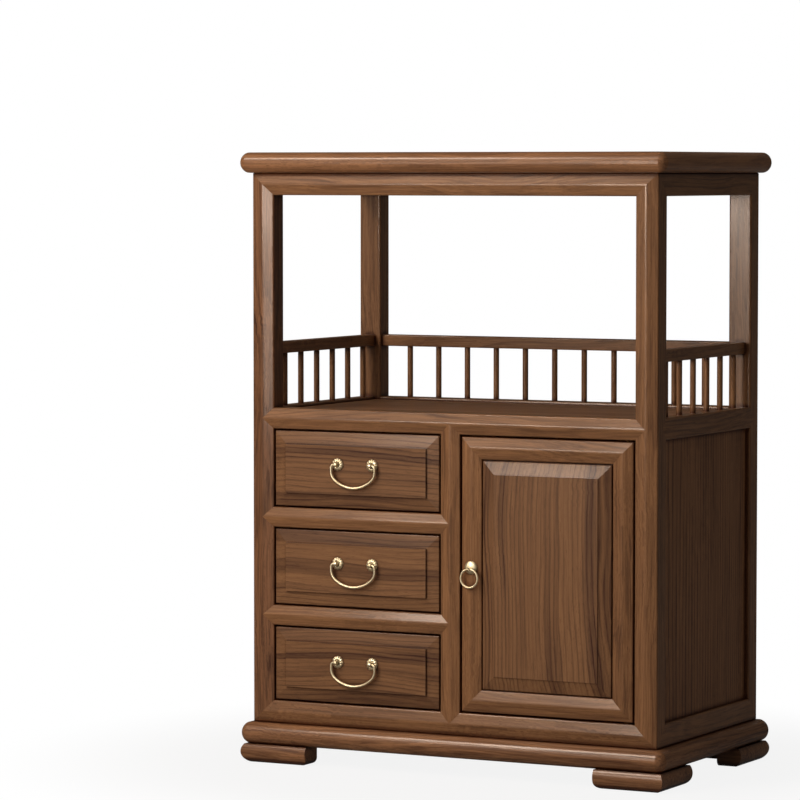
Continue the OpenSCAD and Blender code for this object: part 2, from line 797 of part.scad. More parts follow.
// Runners under the drawers' sides, each with a guide on it that keeps the drawer straight
module drawer_runners() color(wood_inner)
  for (z = [bottom_open_z, middle_open_z, top_open_z]) {
    block(
      [z == bottom_open_z ? -post_x : -side_panel_x, front_post_back, z - runner_h],
      [drawer_left + drawer_side_in + runner_reach, rear_post_front, z]
    );
    block(
      [-side_panel_x, front_post_back, z + glue_line],
      [drawer_left + drawer_side_in - guide_clear, rear_post_front, z + runner_h]
    );
    block(
      [drawer_right - drawer_side_in - runner_reach, front_post_back, z - runner_h],
      [-partition_x, rear_post_front, z]
    );
    block(
      [drawer_right - drawer_side_in + guide_clear, front_post_back, z + glue_line],
      [-partition_x, rear_post_front, z + runner_h]
    );
  }

// Shelf behind the door, on a batten at each end
shelf_front_in = 20;
module inner_shelf() color(wood_inner)
  block(
    [partition_x, front_post_back + shelf_front_in, shelf_z],
    [side_panel_x, rear_post_front, shelf_z + shelf_t]
  );
module shelf_battens() color(wood_inner)
  for (x = [partition_x, side_panel_x - batten])
    block([x, front_post_back + shelf_front_in, shelf_z - batten], [x + batten, rear_post_front, shelf_z]);

// Block under the deck's front rail that the door closes against
door_stop_w = 50;
door_stop_gap = 0.3;
module door_stop() color(wood_inner)
  block(
    [door_left + reveal, door_back + door_stop_gap, deck_rail_z - runner_h],
    [door_left + reveal + door_stop_w, front_post_back, deck_rail_z]
  );

// Gallery
function back_spindle_places() =
  [for (i = [1:back_spindles]) (i - (back_spindles + 1) / 2) * spindle_pitch];
function side_spindle_places() =
  [for (i = [1:side_spindles]) side_spindle_shift + (i - (side_spindles + 1) / 2) * spindle_pitch];

module dowel_bore(x, y, z)
  translate([x, y, z - dowel_l - mortise_end])
    cylinder(h = dowel_l + mortise_end + past, d = dowel_d + 2 * dowel_gap, $fn = small);
module upper_dowel_bore(x, y)
  translate([x, y, gallery_z - past])
    cylinder(h = dowel_l + mortise_end + past, d = dowel_d + 2 * dowel_gap, $fn = small);

module gallery_back_rail() color(wood) difference() {
  union() {
    along_x(-post_x, post_x) translate([gallery_back_y - gallery_rail_t / 2, gallery_z])
      polygon(plain_section(gallery_rail_t, gallery_rail_h, gallery_edge_r));
    gallery_back_tenon();
  }
  for (x = back_spindle_places()) upper_dowel_bore(x, gallery_back_y);
}

module gallery_side_rails() color(wood)
  for (side = [-1, 1])
    difference() {
      union() {
        across_y(-rear_post_front, rear_post_front)
          translate([side * gallery_side_x - gallery_rail_t / 2, gallery_z])
            polygon(plain_section(gallery_rail_t, gallery_rail_h, gallery_edge_r));
        gallery_side_tenon(side);
      }
      for (y = side_spindle_places()) upper_dowel_bore(side * gallery_side_x, y);
    }

module spindle(x, y) translate([x, y, deck_rail_top]) {
  cylinder(h = gallery_clear_h, d = spindle_d, $fn = small);
  translate([0, 0, -dowel_l]) cylinder(h = gallery_clear_h + 2 * dowel_l, d = dowel_d, $fn = small);
}
module gallery_spindles() color(wood) {
  for (x = back_spindle_places()) spindle(x, gallery_back_y);
  for (side = [-1, 1], y = side_spindle_places()) spindle(side * gallery_side_x, y);
}

// Top board and plinth: bars with a half-round outer edge, mitred at the corners
module edge_bar_front(w, t, z0)
  intersection() {
    along_x(-overall_w / 2, overall_w / 2)
      translate([-overall_d / 2, z0]) polygon(bullnose_section(w, t));
    up_z(z0 - past, z0 + t + past) polygon([
      [-overall_w / 2 - past, -overall_d / 2 - past], [overall_w / 2 + past, -overall_d / 2 - past],
      [overall_w / 2 - w, -overall_d / 2 + w], [-overall_w / 2 + w, -overall_d / 2 + w]
    ]);
  }
module edge_bar_right(w, t, z0)
  intersection() {
    across_y(-overall_d / 2, overall_d / 2)
      translate([overall_w / 2, z0]) mirror([1, 0]) polygon(bullnose_section(w, t));
    up_z(z0 - past, z0 + t + past) polygon([
      [overall_w / 2 + past, -overall_d / 2 - past], [overall_w / 2 + past, overall_d / 2 + past],
      [overall_w / 2 - w, overall_d / 2 - w], [overall_w / 2 - w, -overall_d / 2 + w]
    ]);
  }
// Cutter that rounds the four outer corners of a bar of a given thickness to a ball
module corner_rounding(t, z0) {
  r = t / 2;
  for (side = [-1, 1], end = [-1, 1])
    translate([side * (overall_w / 2 - r), end * (overall_d / 2 - r), z0 + r])
      difference() {
        block([0, 0, -r - past], [side * (r + past), end * (r + past), r + past]);
        sphere(r = r + corner_ball_extra, $fn = fine);
      }
}

// Top panel, flush with the members around it, with a tongue all round
top_open_x = overall_w / 2 - top_member_w;
top_open_y = overall_d / 2 - top_member_w;
module top_panel_tongue(gap = 0)
  block(
    [-top_open_x - tongue_l, -top_open_y - tongue_l, overall_h - top_panel_t],
    [top_open_x + tongue_l, top_open_y + tongue_l, overall_h - top_panel_t + top_tongue_t],
    gap
  );
module top_panel() color(wood_top) {
  top_panel_tongue();
  block(
    [-top_open_x + top_panel_reveal, -top_open_y + top_panel_reveal, overall_h - top_panel_t],
    [top_open_x - top_panel_reveal, top_open_y - top_panel_reveal, overall_h]
  );
}

module top_frame_front() color(wood_top) difference() {
  edge_bar_front(top_member_w, top_t, board_z);
  corner_rounding(top_t, board_z);
  top_panel_tongue(panel_gap);
}
module top_frame_rear() color(wood_top) difference() {
  mirror([0, 1, 0]) edge_bar_front(top_member_w, top_t, board_z);
  corner_rounding(top_t, board_z);
  top_panel_tongue(panel_gap);
}
module top_frame_sides() color(wood_top) difference() {
  for (side = [0, 1]) mirror([side, 0, 0]) edge_bar_right(top_member_w, top_t, board_z);
  corner_rounding(top_t, board_z);
  top_panel_tongue(panel_gap);
}

module plinth_front() color(wood_dark) difference() {
  edge_bar_front(plinth_member_w, plinth_h, foot_h);
  corner_rounding(plinth_h, foot_h);
}
module plinth_rear() color(wood_dark) difference() {
  mirror([0, 1, 0]) edge_bar_front(plinth_member_w, plinth_h, foot_h);
  corner_rounding(plinth_h, foot_h);
}
module plinth_sides() color(wood_dark) difference() {
  for (side = [0, 1]) mirror([side, 0, 0]) edge_bar_right(plinth_member_w, plinth_h, foot_h);
  corner_rounding(plinth_h, foot_h);
}

// Feet: two mitred arms under each corner, swelling to a belly above the floor.
// The first coordinate of the outline runs inwards from the outer face.
function belly_r(tuck, h) = (tuck * tuck + h * h) / (2 * tuck);
function foot_section() =
  let (
    low_r = belly_r(foot_tuck_floor, foot_belly_z),
    top_h = foot_h - foot_belly_z,
    top_r = belly_r(foot_tuck_top, top_h)
  )
  concat(
    arc(low_r, foot_belly_z, low_r, 180 + asin(foot_belly_z / low_r), 180, 2 * arc_steps),
    arc(top_r, foot_belly_z, top_r, 180, 180 - asin(top_h / top_r)),
    [[foot_t, foot_h], [foot_t, 0]]
  );
foot_x = overall_w / 2 - foot_inset;
foot_y = overall_d / 2 - foot_inset;
// Elevation of an arm that starts at the outer corner and ends in a rounded toe
function arm_elevation(start, step) = concat(
  [[start, 0]],
  [for (p = arc(foot_arm - foot_end_r, foot_end_r, foot_end_r, -90, 0)) [start + step * p[0], p[1]]],
  [[start + step * foot_arm, foot_h], [start, foot_h]]
);
module foot_arm_across()
  intersection() {
    along_x(-foot_x, -foot_x + foot_arm) translate([-foot_y, 0]) polygon(foot_section());
    across_y(-foot_y - past, -foot_y + foot_t + past) polygon(arm_elevation(-foot_x, 1));
    up_z(-past, foot_h + past) polygon([
      [-foot_x + glue_line, -foot_y], [-foot_x + foot_arm, -foot_y - past],
      [-foot_x + foot_arm + past, -foot_y + foot_t], [-foot_x + foot_t + glue_line, -foot_y + foot_t]
    ]);
  }
module foot_arm_back()
  intersection() {
    across_y(-foot_y, -foot_y + foot_arm) translate([-foot_x, 0]) polygon(foot_section());
    along_x(-foot_x - past, -foot_x + foot_t + past) polygon(arm_elevation(-foot_y, 1));
    up_z(-past, foot_h + past) polygon([
      [-foot_x, -foot_y], [-foot_x - past, -foot_y + foot_arm],
      [-foot_x + foot_t, -foot_y + foot_arm + past], [-foot_x + foot_t, -foot_y + foot_t]
    ]);
  }
module foot() {
  foot_arm_across();
  foot_arm_back();
}
module front_feet() color(wood_dark) for (side = [0, 1]) mirror([side, 0, 0]) foot();
module rear_feet() color(wood_dark) mirror([0, 1, 0]) for (side = [0, 1]) mirror([side, 0, 0]) foot();

// Drawers. Each is drawn for an opening given by its lower edge and its clear height.
function side_bottom(z) = z + runner_clear;
function side_top(z, h) = z + h - drawer_side_drop;
box_left = drawer_left + drawer_side_in;
box_right = drawer_right - drawer_side_in;

// Outlines in Y and Z of the dovetails between two heights, wider at the far end
function dovetail_outlines(z0, z1, y_near, y_far) =
  let (
    pitch = (z1 - z0) / dovetails,
    half = pitch * dovetail_share,
    flare = abs(y_far - y_near) * dovetail_slope
  )
  [for (i = [1:dovetails]) let (z = z0 + (i - 1 / 2) * pitch) [
    [y_near, z - half], [y_far, z - half - flare], [y_far, z + half + flare], [y_near, z + half]
  ]];
module dovetail_row(x0, x1, z, h, y_near, y_far)
  for (outline = dovetail_outlines(z + reveal + drawer_side_in, side_top(z, h), y_near, y_far))
    along_x(x0, x1) polygon(outline);

module drawer_floor_block(z, grow = 0)
  block(
    [box_left + drawer_side_t - drawer_groove_d, drawer_front_back - drawer_groove_d,
      side_bottom(z) + drawer_floor_up],
    [box_right - drawer_side_t + drawer_groove_d, drawer_end - drawer_side_t + drawer_groove_d,
      side_bottom(z) + drawer_floor_up + drawer_floor_t],
    grow
  );

module pull_screw_bores(z, h) {
  bore_l = drawer_front_back - field_y + 2 * past;
  for (side = [-1, 1])
    translate([pull_x + side * pull_centres / 2, field_y - past, z + h - pull_drop])
      rotate([-90, 0, 0]) cylinder(h = bore_l, d = pull_screw_d + 2 * pin_gap, $fn = small);
}

// Drawer front before its joints are cut
module raised_front(z, h) {
  across = raised_section(drawer_right - drawer_left, drawer_front_t, drawer_bevel_rise, drawer_field_step);
  upward = raised_section(h - 2 * reveal, drawer_front_t, drawer_bevel_rise, drawer_field_step);
  intersection() {
    up_z(z + reveal, z + h - reveal) translate([drawer_left, front_y]) polygon(across);
    along_x(drawer_left, drawer_right) translate([front_y, z + reveal]) polygon(swapped(upward));
  }
}

dovetail_end = drawer_front_back - dovetail_l;
module drawer_front(z, h) color(wood_field) difference() {
  raised_front(z, h);
  dovetail_row(drawer_left - past, box_left + drawer_side_t, z, h, drawer_front_back, dovetail_end);
  dovetail_row(box_right - drawer_side_t, drawer_right + past, z, h, drawer_front_back, dovetail_end);
  drawer_floor_block(z, drawer_floor_space);
  pull_screw_bores(z, h);
}

module drawer_sides(z, h) color(wood_inner)
  for (x = [box_left, box_right - drawer_side_t])
    difference() {
      union() {
        block(
          [x, drawer_front_back, side_bottom(z)],
          [x + drawer_side_t, drawer_end - drawer_side_t, side_top(z, h)]
        );
        dovetail_row(x, x + drawer_side_t, z, h, drawer_front_back, dovetail_end);
        dovetail_row(x, x + drawer_side_t, z, h, drawer_end - drawer_side_t, drawer_end);
      }
      drawer_floor_block(z, drawer_floor_space);
    }

module drawer_back(z, h) color(wood_inner) difference() {
  block([box_left, drawer_end - drawer_side_t, side_bottom(z)], [box_right, drawer_end, side_top(z, h)]);
  dovetail_row(box_left - past, box_left + drawer_side_t, z, h, drawer_end - drawer_side_t, drawer_end);
  dovetail_row(box_right - drawer_side_t, box_right + past, z, h, drawer_end - drawer_side_t, drawer_end);
  drawer_floor_block(z, drawer_floor_space);
}

module drawer_floor(z) color(wood_inner) drawer_floor_block(z);

// Drawer pull: two rosettes with knuckles, screwed through the front, and a hanging bail
// The scallops' radius lets each one overlap its neighbours
scallop_r = rosette_d / 2 * tan(180 / scallops) * 0.87;
module rosette() {
  scallop_at = rosette_d / 2 - scallop_r;
  linear_extrude(rosette_plate_t) {
    circle(r = scallop_at, $fn = fine);
    for (i = [1:scallops])
      rotate(i * 360 / scallops) translate([scallop_at, 0]) circle(r = scallop_r, $fn = small);
  }
  rotate_extrude($fn = fine)
    polygon(dome_outline(scallop_at - rosette_rim, rosette_plate_t / 2, rosette_h));
}
screw_end = field_y - drawer_front_back - nut_t;
module pull_posts(z, h) color(brass)
  for (side = [-1, 1])
    translate([pull_x + side * pull_centres / 2, field_y, z + h - pull_drop]) rotate([90, 0, 0]) {
      difference() {
        union() {
          rosette();
          cylinder(h = bail_reach, d = knuckle_d * neck_share, $fn = small);
          translate([-knuckle_l / 2, 0, bail_reach]) rotate([0, 90, 0])
            cylinder(h = knuckle_l, d = knuckle_d, $fn = fine);
          translate([0, 0, screw_end])
            cylinder(h = rosette_plate_t - screw_end, d = pull_screw_d, $fn = small);
        }
        translate([-knuckle_l, 0, bail_reach]) rotate([0, 90, 0])
          cylinder(h = 2 * knuckle_l, d = bail_pin_d + 2 * pin_gap, $fn = fine);
      }
      translate([0, 0, screw_end]) screw_nut();
    }
module screw_nut() difference() {
  cylinder(h = nut_t, d = nut_d, $fn = nut_sides);
  translate([0, 0, -past]) cylinder(h = nut_t + 2 * past, d = pull_screw_d + 2 * pin_gap, $fn = small);
}

// Bail in X and Z around its axis: pins, bends, arms, corners and a shallow curved grip
bail_x = bail_w / 2;
bail_grip_rise = bail_drop - bail_arm;
bail_corner_x = bail_x - bail_corner_r;
// The grip's radius makes it meet both corner bends without a kink
corner_dip = bail_grip_rise - bail_corner_r;
bail_grip_r = bail_grip_rise + (pow(bail_corner_x, 2) - pow(corner_dip, 2)) / (2 * corner_dip);
bail_grip_z = bail_grip_r - bail_drop;
bail_grip_angle = atan2(bail_corner_x, bail_grip_z + bail_arm);
wire_lap = 0.4;
corner_lap_angle = 1;
bail_pin_in = pull_centres / 2 - knuckle_l / 2 + wire_lap;

// Bent wire of a given diameter, in X and Z, from one angle to another around a centre
module wire_bend(x, z, r, from, to, d)
  translate([x, 0, z]) rotate([90, 0, 0]) rotate([0, 0, from])
    rotate_extrude(angle = to - from, $fn = 2 * fine) translate([r, 0]) circle(d = d, $fn = small);

module bail_half() {
  translate([bail_pin_in, 0, 0]) rotate([0, 90, 0])
    cylinder(h = bail_x - bail_bend_r - bail_pin_in + wire_lap, d = bail_pin_d, $fn = small);
  wire_bend(bail_x - bail_bend_r, -bail_bend_r, bail_bend_r, 0, 90, bail_wire_d);
  translate([bail_x, 0, -bail_arm - wire_lap])
    cylinder(h = bail_arm - bail_bend_r + 2 * wire_lap, d = bail_pin_d, $fn = small);
  wire_bend(
    bail_corner_x, -bail_arm, bail_corner_r, bail_grip_angle - 90 - corner_lap_angle, 0, bail_wire_d
  );
}
module bail(z, h) color(brass) translate([pull_x, bail_axis_y, z + h - pull_drop]) {
  for (side = [0, 1]) mirror([side, 0, 0]) bail_half();
  wire_bend(0, bail_grip_z, bail_grip_r, -90 - bail_grip_angle, -90 + bail_grip_angle, bail_grip_d);
}

module top_drawer_front() drawer_front(top_open_z, top_open_h);
module top_drawer_sides() drawer_sides(top_open_z, top_open_h);
module top_drawer_back() drawer_back(top_open_z, top_open_h);
module top_drawer_floor() drawer_floor(top_open_z);
module top_pull_posts() pull_posts(top_open_z, top_open_h);
module top_bail() bail(top_open_z, top_open_h);

module middle_drawer_front() drawer_front(middle_open_z, middle_open_h);
module middle_drawer_sides() drawer_sides(middle_open_z, middle_open_h);
module middle_drawer_back() drawer_back(middle_open_z, middle_open_h);
module middle_drawer_floor() drawer_floor(middle_open_z);
module middle_pull_posts() pull_posts(middle_open_z, middle_open_h);
module middle_bail() bail(middle_open_z, middle_open_h);

module bottom_drawer_front() drawer_front(bottom_open_z, bottom_open_h);
module bottom_drawer_sides() drawer_sides(bottom_open_z, bottom_open_h);
module bottom_drawer_back() drawer_back(bottom_open_z, bottom_open_h);
module bottom_drawer_floor() drawer_floor(bottom_open_z);
module bottom_pull_posts() pull_posts(bottom_open_z, bottom_open_h);
module bottom_bail() bail(bottom_open_z, bottom_open_h);

// Door: four ridged members mitred around a raised panel
door_open_left = door_left + door_member_w;
door_open_right = door_right - door_member_w;
door_open_bottom = door_bottom + door_member_w;
door_open_top = door_top - door_member_w;

module door_tongue(gap = 0)
  block(
    [door_open_left - tongue_l, front_y + door_tongue_in, door_open_bottom - tongue_l],
    [door_open_right + tongue_l, front_y + door_tongue_in + door_tongue_t, door_open_top + tongue_l],
    gap
  );

// Tenons of the door's rails, hidden in the mitres
module door_tenons(grow = 0)
  for (right = [false, true], top = [false, true])
    block(
      [right ? door_right - door_tenon_in : door_left + door_tenon_in, front_y + door_tenon_in,
        top ? door_top - door_tenon_in : door_bottom + door_tenon_in],
      [right ? door_open_right : door_open_left, front_y + door_tenon_in + door_tenon_t,
        top ? door_open_top + door_tenon_in : door_open_bottom - door_tenon_in],
      grow
    );

module pivot_bores()
  translate([pivot_x, pivot_y, 0])
    for (z = [door_bottom - past, door_top - pivot_l])
      translate([0, 0, z]) cylinder(h = pivot_l + past, d = pivot_d, $fn = small);

// The part of the door's front between two mitre lines, given by its four corners in X and Z
module door_mitre(corners)
  across_y(front_y - ridge_h - past, door_back + past) polygon(corners);

module door_stiles() color(wood) difference() {
  for (right = [false, true])
    intersection() {
      up_z(door_bottom, door_top) translate([right ? door_open_right : door_left, front_y])
        polygon(ridged_section(door_member_w, door_t));
      door_mitre([
        [right ? door_right : door_left, door_bottom],
        [right ? door_right : door_left, door_top],
        [right ? door_open_right : door_open_left, door_open_top],
        [right ? door_open_right : door_open_left, door_open_bottom]
      ]);
    }
  door_tongue(panel_gap);
  door_tenons(tenon_gap);
  pivot_bores();
  boss_cuts();
}

module door_rails() color(wood) difference() {
  union() {
    for (top = [false, true])
      intersection() {
        along_x(door_left, door_right) translate([front_y, top ? door_open_top : door_bottom])
          polygon(swapped(ridged_section(door_member_w, door_t)));
        door_mitre([
          [door_left, top ? door_top : door_bottom],
          [door_right, top ? door_top : door_bottom],
          [door_open_right, top ? door_open_top : door_open_bottom],
          [door_open_left, top ? door_open_top : door_open_bottom]
        ]);
      }
    door_tenons();
  }
  door_tongue(panel_gap);
  pivot_bores();
}

module door_panel() color(wood_field) {
  panel_left = door_open_left + door_quirk;
  panel_right = door_open_right - door_quirk;
  panel_bottom = door_open_bottom + door_quirk;
  panel_top = door_open_top - door_quirk;
  panel_t = door_tongue_in + door_tongue_t;
  across = raised_section(panel_right - panel_left, panel_t, door_bevel_rise, door_field_step);
  upward = raised_section(panel_top - panel_bottom, panel_t, door_bevel_rise, door_field_step);
  intersection() {
    up_z(panel_bottom, panel_top) translate([panel_left, front_y]) polygon(across);
    along_x(panel_left, panel_right) translate([front_y, panel_bottom]) polygon(swapped(upward));
  }
  door_tongue();
}

// Pivot pins fixed in the door, the lower one with a collar that carries its weight
pivot_whole_l = 2 * pivot_l + reveal - past;
module door_pivots() color(brass) translate([pivot_x, pivot_y, 0]) {
  translate([0, 0, door_top - pivot_l]) cylinder(h = pivot_whole_l, d = pivot_d, $fn = small);
  translate([0, 0, bottom_open_z - pivot_l + past])
    cylinder(h = pivot_whole_l - past, d = pivot_d, $fn = small);
  translate([0, 0, bottom_open_z + runner_clear])
    cylinder(h = reveal - runner_clear, d = pivot_collar_d, $fn = small);
}

// Ring pull: a plain boss seated in the door's stile, with a stem that holds the ring
module boss_cuts() translate([boss_x, front_y, boss_z]) rotate([90, 0, 0]) {
  translate([0, 0, boss_seat]) cylinder(h = ridge_h + past, d = boss_d + 2 * pin_gap, $fn = fine);
  translate([0, 0, -door_t - past])
    cylinder(h = door_t + ridge_h + past, d = pull_screw_d + 2 * pin_gap, $fn = small);
}
module ring_boss() color(brass) translate([boss_x, front_y, boss_z]) rotate([90, 0, 0]) {
  difference() {
    union() {
      translate([0, 0, boss_seat])
        rotate_extrude($fn = fine) polygon(dome_outline(boss_d / 2, boss_h / 3, boss_h));
      translate([0, -ring_low, boss_seat])
        cylinder(h = ring_reach + stem_d / 2 - boss_seat, d = stem_d, $fn = small);
      translate([0, 0, -door_t - nut_t])
        cylinder(h = door_t + nut_t + boss_seat + past, d = pull_screw_d, $fn = small);
    }
    translate([-stem_d, -ring_low, ring_reach]) rotate([0, 90, 0])
      cylinder(h = 2 * stem_d, d = ring_pin_d + 2 * pin_gap, $fn = small);
  }
  translate([0, 0, -door_t - nut_t]) screw_nut();
}

module ring_pull() color(brass) translate([boss_x, ring_axis_y, ring_axis_z]) {
  stem_side = stem_d / 2 + ring_gap;
  difference() {
    translate([0, 0, -ring_r]) rotate([90, 0, 0])
      rotate_extrude($fn = 2 * fine) translate([ring_r, 0]) circle(d = ring_wire_d, $fn = small);
    block([-stem_side, -ring_wire_d, -ring_wire_d], [stem_side, ring_wire_d, ring_wire_d]);
  }
  translate([-stem_side - ring_gap, 0, 0]) rotate([0, 90, 0])
    cylinder(h = 2 * (stem_side + ring_gap), d = ring_pin_d, $fn = small);
}

top_frame_front();
top_frame_rear();
top_frame_sides();
top_panel();
front_left_post();
front_right_post();
rear_posts();
upper_front_rail();
upper_rear_rail();
upper_side_rails();
deck_front_rail();
deck_rear_rail();
deck_side_rails();
deck_panel();
gallery_back_rail();
gallery_side_rails();
gallery_spindles();
centre_stile();
drawer_dividers();
base_front_rail();
base_rear_rail();
base_side_rails();
side_panels();
back_panel();
floor_panel();
partition();
drawer_runners();
inner_shelf();
shelf_battens();
door_stop();
plinth_front();
plinth_rear();
plinth_sides();
front_feet();
rear_feet();
top_drawer_front();
top_drawer_sides();
top_drawer_back();
top_drawer_floor();
top_pull_posts();
top_bail();
middle_drawer_front();
middle_drawer_sides();
middle_drawer_back();
middle_drawer_floor();
middle_pull_posts();
middle_bail();
bottom_drawer_front();
bottom_drawer_sides();
bottom_drawer_back();
bottom_drawer_floor();
bottom_pull_posts();
bottom_bail();
door_stiles();
door_rails();
door_panel();
door_pivots();
ring_boss();
ring_pull();
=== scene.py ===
# %% [markdown]
# A tea cabinet in stained wood with brass pulls.
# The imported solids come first. They are the fixed frame: every board, joint and pin already has
# its real size and place, so Blender adds finishes, fine brass work, light and a camera.

# %% Load the frame
import json
import math

import bmesh
import bpy
from mathutils import Euler, Matrix, Vector


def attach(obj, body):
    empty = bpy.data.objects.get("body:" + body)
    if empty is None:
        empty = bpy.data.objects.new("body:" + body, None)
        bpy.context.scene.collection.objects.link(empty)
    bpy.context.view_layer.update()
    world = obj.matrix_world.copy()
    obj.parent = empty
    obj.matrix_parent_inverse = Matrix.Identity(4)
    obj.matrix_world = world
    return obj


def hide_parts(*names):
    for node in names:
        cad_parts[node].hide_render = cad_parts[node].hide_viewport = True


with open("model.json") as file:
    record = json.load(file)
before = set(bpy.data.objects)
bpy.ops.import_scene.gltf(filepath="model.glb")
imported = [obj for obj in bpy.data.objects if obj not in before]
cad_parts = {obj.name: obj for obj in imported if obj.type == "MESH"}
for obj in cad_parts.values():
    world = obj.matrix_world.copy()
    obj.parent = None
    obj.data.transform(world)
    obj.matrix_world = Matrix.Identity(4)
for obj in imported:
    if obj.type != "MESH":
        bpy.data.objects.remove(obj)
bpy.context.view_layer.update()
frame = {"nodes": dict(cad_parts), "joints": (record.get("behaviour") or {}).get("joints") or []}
nodes = frame["nodes"]
MM = 0.001

# %% [markdown]
# The camera stands about seven metres away to the right of the cabinet, level with the top board,
# and looks a little down. Its place and lens were solved from the cabinet's own parallel edges. A
# long lens from far off keeps the uprights all but parallel, so the lens needs no shift, and the
# whole cabinet also stays in the frame when the camera is carried round to its other sides.

# %% Place the camera
CAMERA_PLACE = (3.063, -6.2605, 1.0185)
CAMERA_TURN = 27.573
CAMERA_TILT = 3.237
CAMERA_LENS = 182.35

camera_data = bpy.data.cameras.new("camera")
camera_data.lens = CAMERA_LENS
camera_data.sensor_width = 36
camera = bpy.data.objects.new("camera", camera_data)
camera.location = CAMERA_PLACE
camera.rotation_euler = (math.radians(90 - CAMERA_TILT), 0, math.radians(CAMERA_TURN))
bpy.context.scene.collection.objects.link(camera)
bpy.context.scene.camera = camera
print("camera at", CAMERA_PLACE, "lens", CAMERA_LENS)

# %% [markdown]
# Colours are easiest to judge as they look on a screen, but shaders work with linear light.
# This helper turns a screen colour from 0 to 255 into the linear colour that a socket takes.

# %% Colour helper
def screen_colour(red, green, blue):
    """A linear colour with full alpha, from a screen colour."""
    def linear(value):
        value = value / 255
        return value / 12.92 if value <= 0.04045 else ((value + 0.055) / 1.055) ** 2.4
    return (linear(red), linear(green), linear(blue), 1.0)


print("middle grey on screen is linear", round(screen_colour(128, 128, 128)[0], 3))

# %% [markdown]
# A shader is a small tree of nodes. The editor joins them by dragging, but in code each node and
# each link takes a line of its own. These helpers make a node with its links in one call, so that
# the recipes below read like recipes.

# %% Node helpers
def add_node(tree, kind, **settings):
    """A new node with its properties set."""
    node = tree.nodes.new(kind)
    for name, value in settings.items():
        setattr(node, name, value)
    return node


def connect(tree, source, target):
    """A link between two sockets, or a constant on the target socket."""
    if isinstance(source, bpy.types.NodeSocket):
        tree.links.new(source, target)
    else:
        target.default_value = source


def maths(tree, operation, first, second=0.0, third=0.0):
    """One maths node, and its result."""
    node = add_node(tree, "ShaderNodeMath", operation=operation)
    connect(tree, first, node.inputs[0])
    connect(tree, second, node.inputs[1])
    if operation == "MULTIPLY_ADD":
        connect(tree, third, node.inputs[2])
    return node.outputs[0]


def mix_colours(tree, amount, first, second, blend="MIX"):
    """Blends two colours by an amount from 0 to 1."""
    node = add_node(tree, "ShaderNodeMix", data_type="RGBA", blend_type=blend)
    connect(tree, amount, node.inputs["Factor"])
    connect(tree, first, node.inputs[6])
    connect(tree, second, node.inputs[7])
    return node.outputs[2]


# %% [markdown]
# Nearly every pattern below is noise that is first stretched and then cut to a soft mask. The
# stretch is a plain product of vectors, so that one noise is long along a board and fine across it.

# %% Ramp and noise helpers
def ramp(tree, value, low, high):
    """Carries a value from between low and high to between 0 and 1, softly."""
    node = add_node(tree, "ShaderNodeMapRange", interpolation_type="SMOOTHSTEP")
    connect(tree, value, node.inputs["Value"])
    connect(tree, low, node.inputs["From Min"])
    connect(tree, high, node.inputs["From Max"])
    return node.outputs["Result"]


def noise(tree, vector, stretch, detail=2.0, roughness=0.5):
    """Noise on a vector that is first stretched along each axis, in cycles per metre."""
    scaled = add_node(tree, "ShaderNodeVectorMath", operation="MULTIPLY")
    connect(tree, vector, scaled.inputs[0])
    scaled.inputs[1].default_value = stretch
    node = add_node(tree, "ShaderNodeTexNoise", noise_dimensions="3D")
    connect(tree, scaled.outputs[0], node.inputs["Vector"])
    node.inputs["Scale"].default_value = 1.0
    node.inputs["Detail"].default_value = detail
    node.inputs["Roughness"].default_value = roughness
    return node.outputs["Fac"]


# %% [markdown]
# An effect that many materials share is built once, as a node group, and each material places it
# with values of its own. One helper makes the empty group with its named sockets, another places
# a finished group in a material, and a third turns a group's height into a fine relief.

# %% Group helpers
COLOUR, VALUE, VECTOR = "NodeSocketColor", "NodeSocketFloat", "NodeSocketVector"


def new_group(name, inputs, outputs):
    """An empty shader node group with named sockets."""
    group = bpy.data.node_groups.new(name, "ShaderNodeTree")
    for socket_name, kind in inputs:
        group.interface.new_socket(name=socket_name, in_out="INPUT", socket_type=kind)
    for socket_name, kind in outputs:
        group.interface.new_socket(name=socket_name, in_out="OUTPUT", socket_type=kind)
    entry = group.nodes.new("NodeGroupInput")
    leave = group.nodes.new("NodeGroupOutput")
    return group, entry.outputs, leave.inputs


def place_group(tree, group, vector, values):
    """Places a group with its own values, and gives its outputs."""
    node = add_node(tree, "ShaderNodeGroup", node_tree=group)
    connect(tree, vector, node.inputs["Vector"])
    for socket, value in values.items():
        node.inputs[socket].default_value = value
    return node.outputs


def relief(tree, height, strength, depth):
    """The normals of a fine relief, with its depth in metres."""
    node = add_node(tree, "ShaderNodeBump")
    node.inputs["Strength"].default_value = strength
    node.inputs["Distance"].default_value = depth
    connect(tree, height, node.inputs["Height"])
    return node.outputs[0]


# %% [markdown]
# Wood grain is the tree's yearly growth, cut open by the saw. A picture of wood would show the
# same figure on every side of a board, so the grain is solid here: each point's distance from a
# tree axis beside the board says in which year it grew. The grain runs along the first axis. All
# noise sizes are in cycles per metre, small along the board and large across it.
#
# No tree grows straight. Three noises, from slow to quick, push a point sideways before its year
# is measured. A fourth wrinkles the lines where a slow mask lets it, which gives curly patches.

# %% Grain: bends
SLOW_BEND, SLOW_PUSH = (2.4, 5.0, 5.0), 0.050
UNEVEN_BEND, UNEVEN_PUSH = (3.5, 26.0, 26.0), 0.010
QUICK_BEND, QUICK_PUSH = (9.0, 60.0, 60.0), 0.003
CURL, CURL_PUSH = (75.0, 45.0, 45.0), 0.006
CURLY_PLACES, CURLY_FROM, CURLY_FULL = (2.0, 7.0, 7.0), 0.50, 0.68


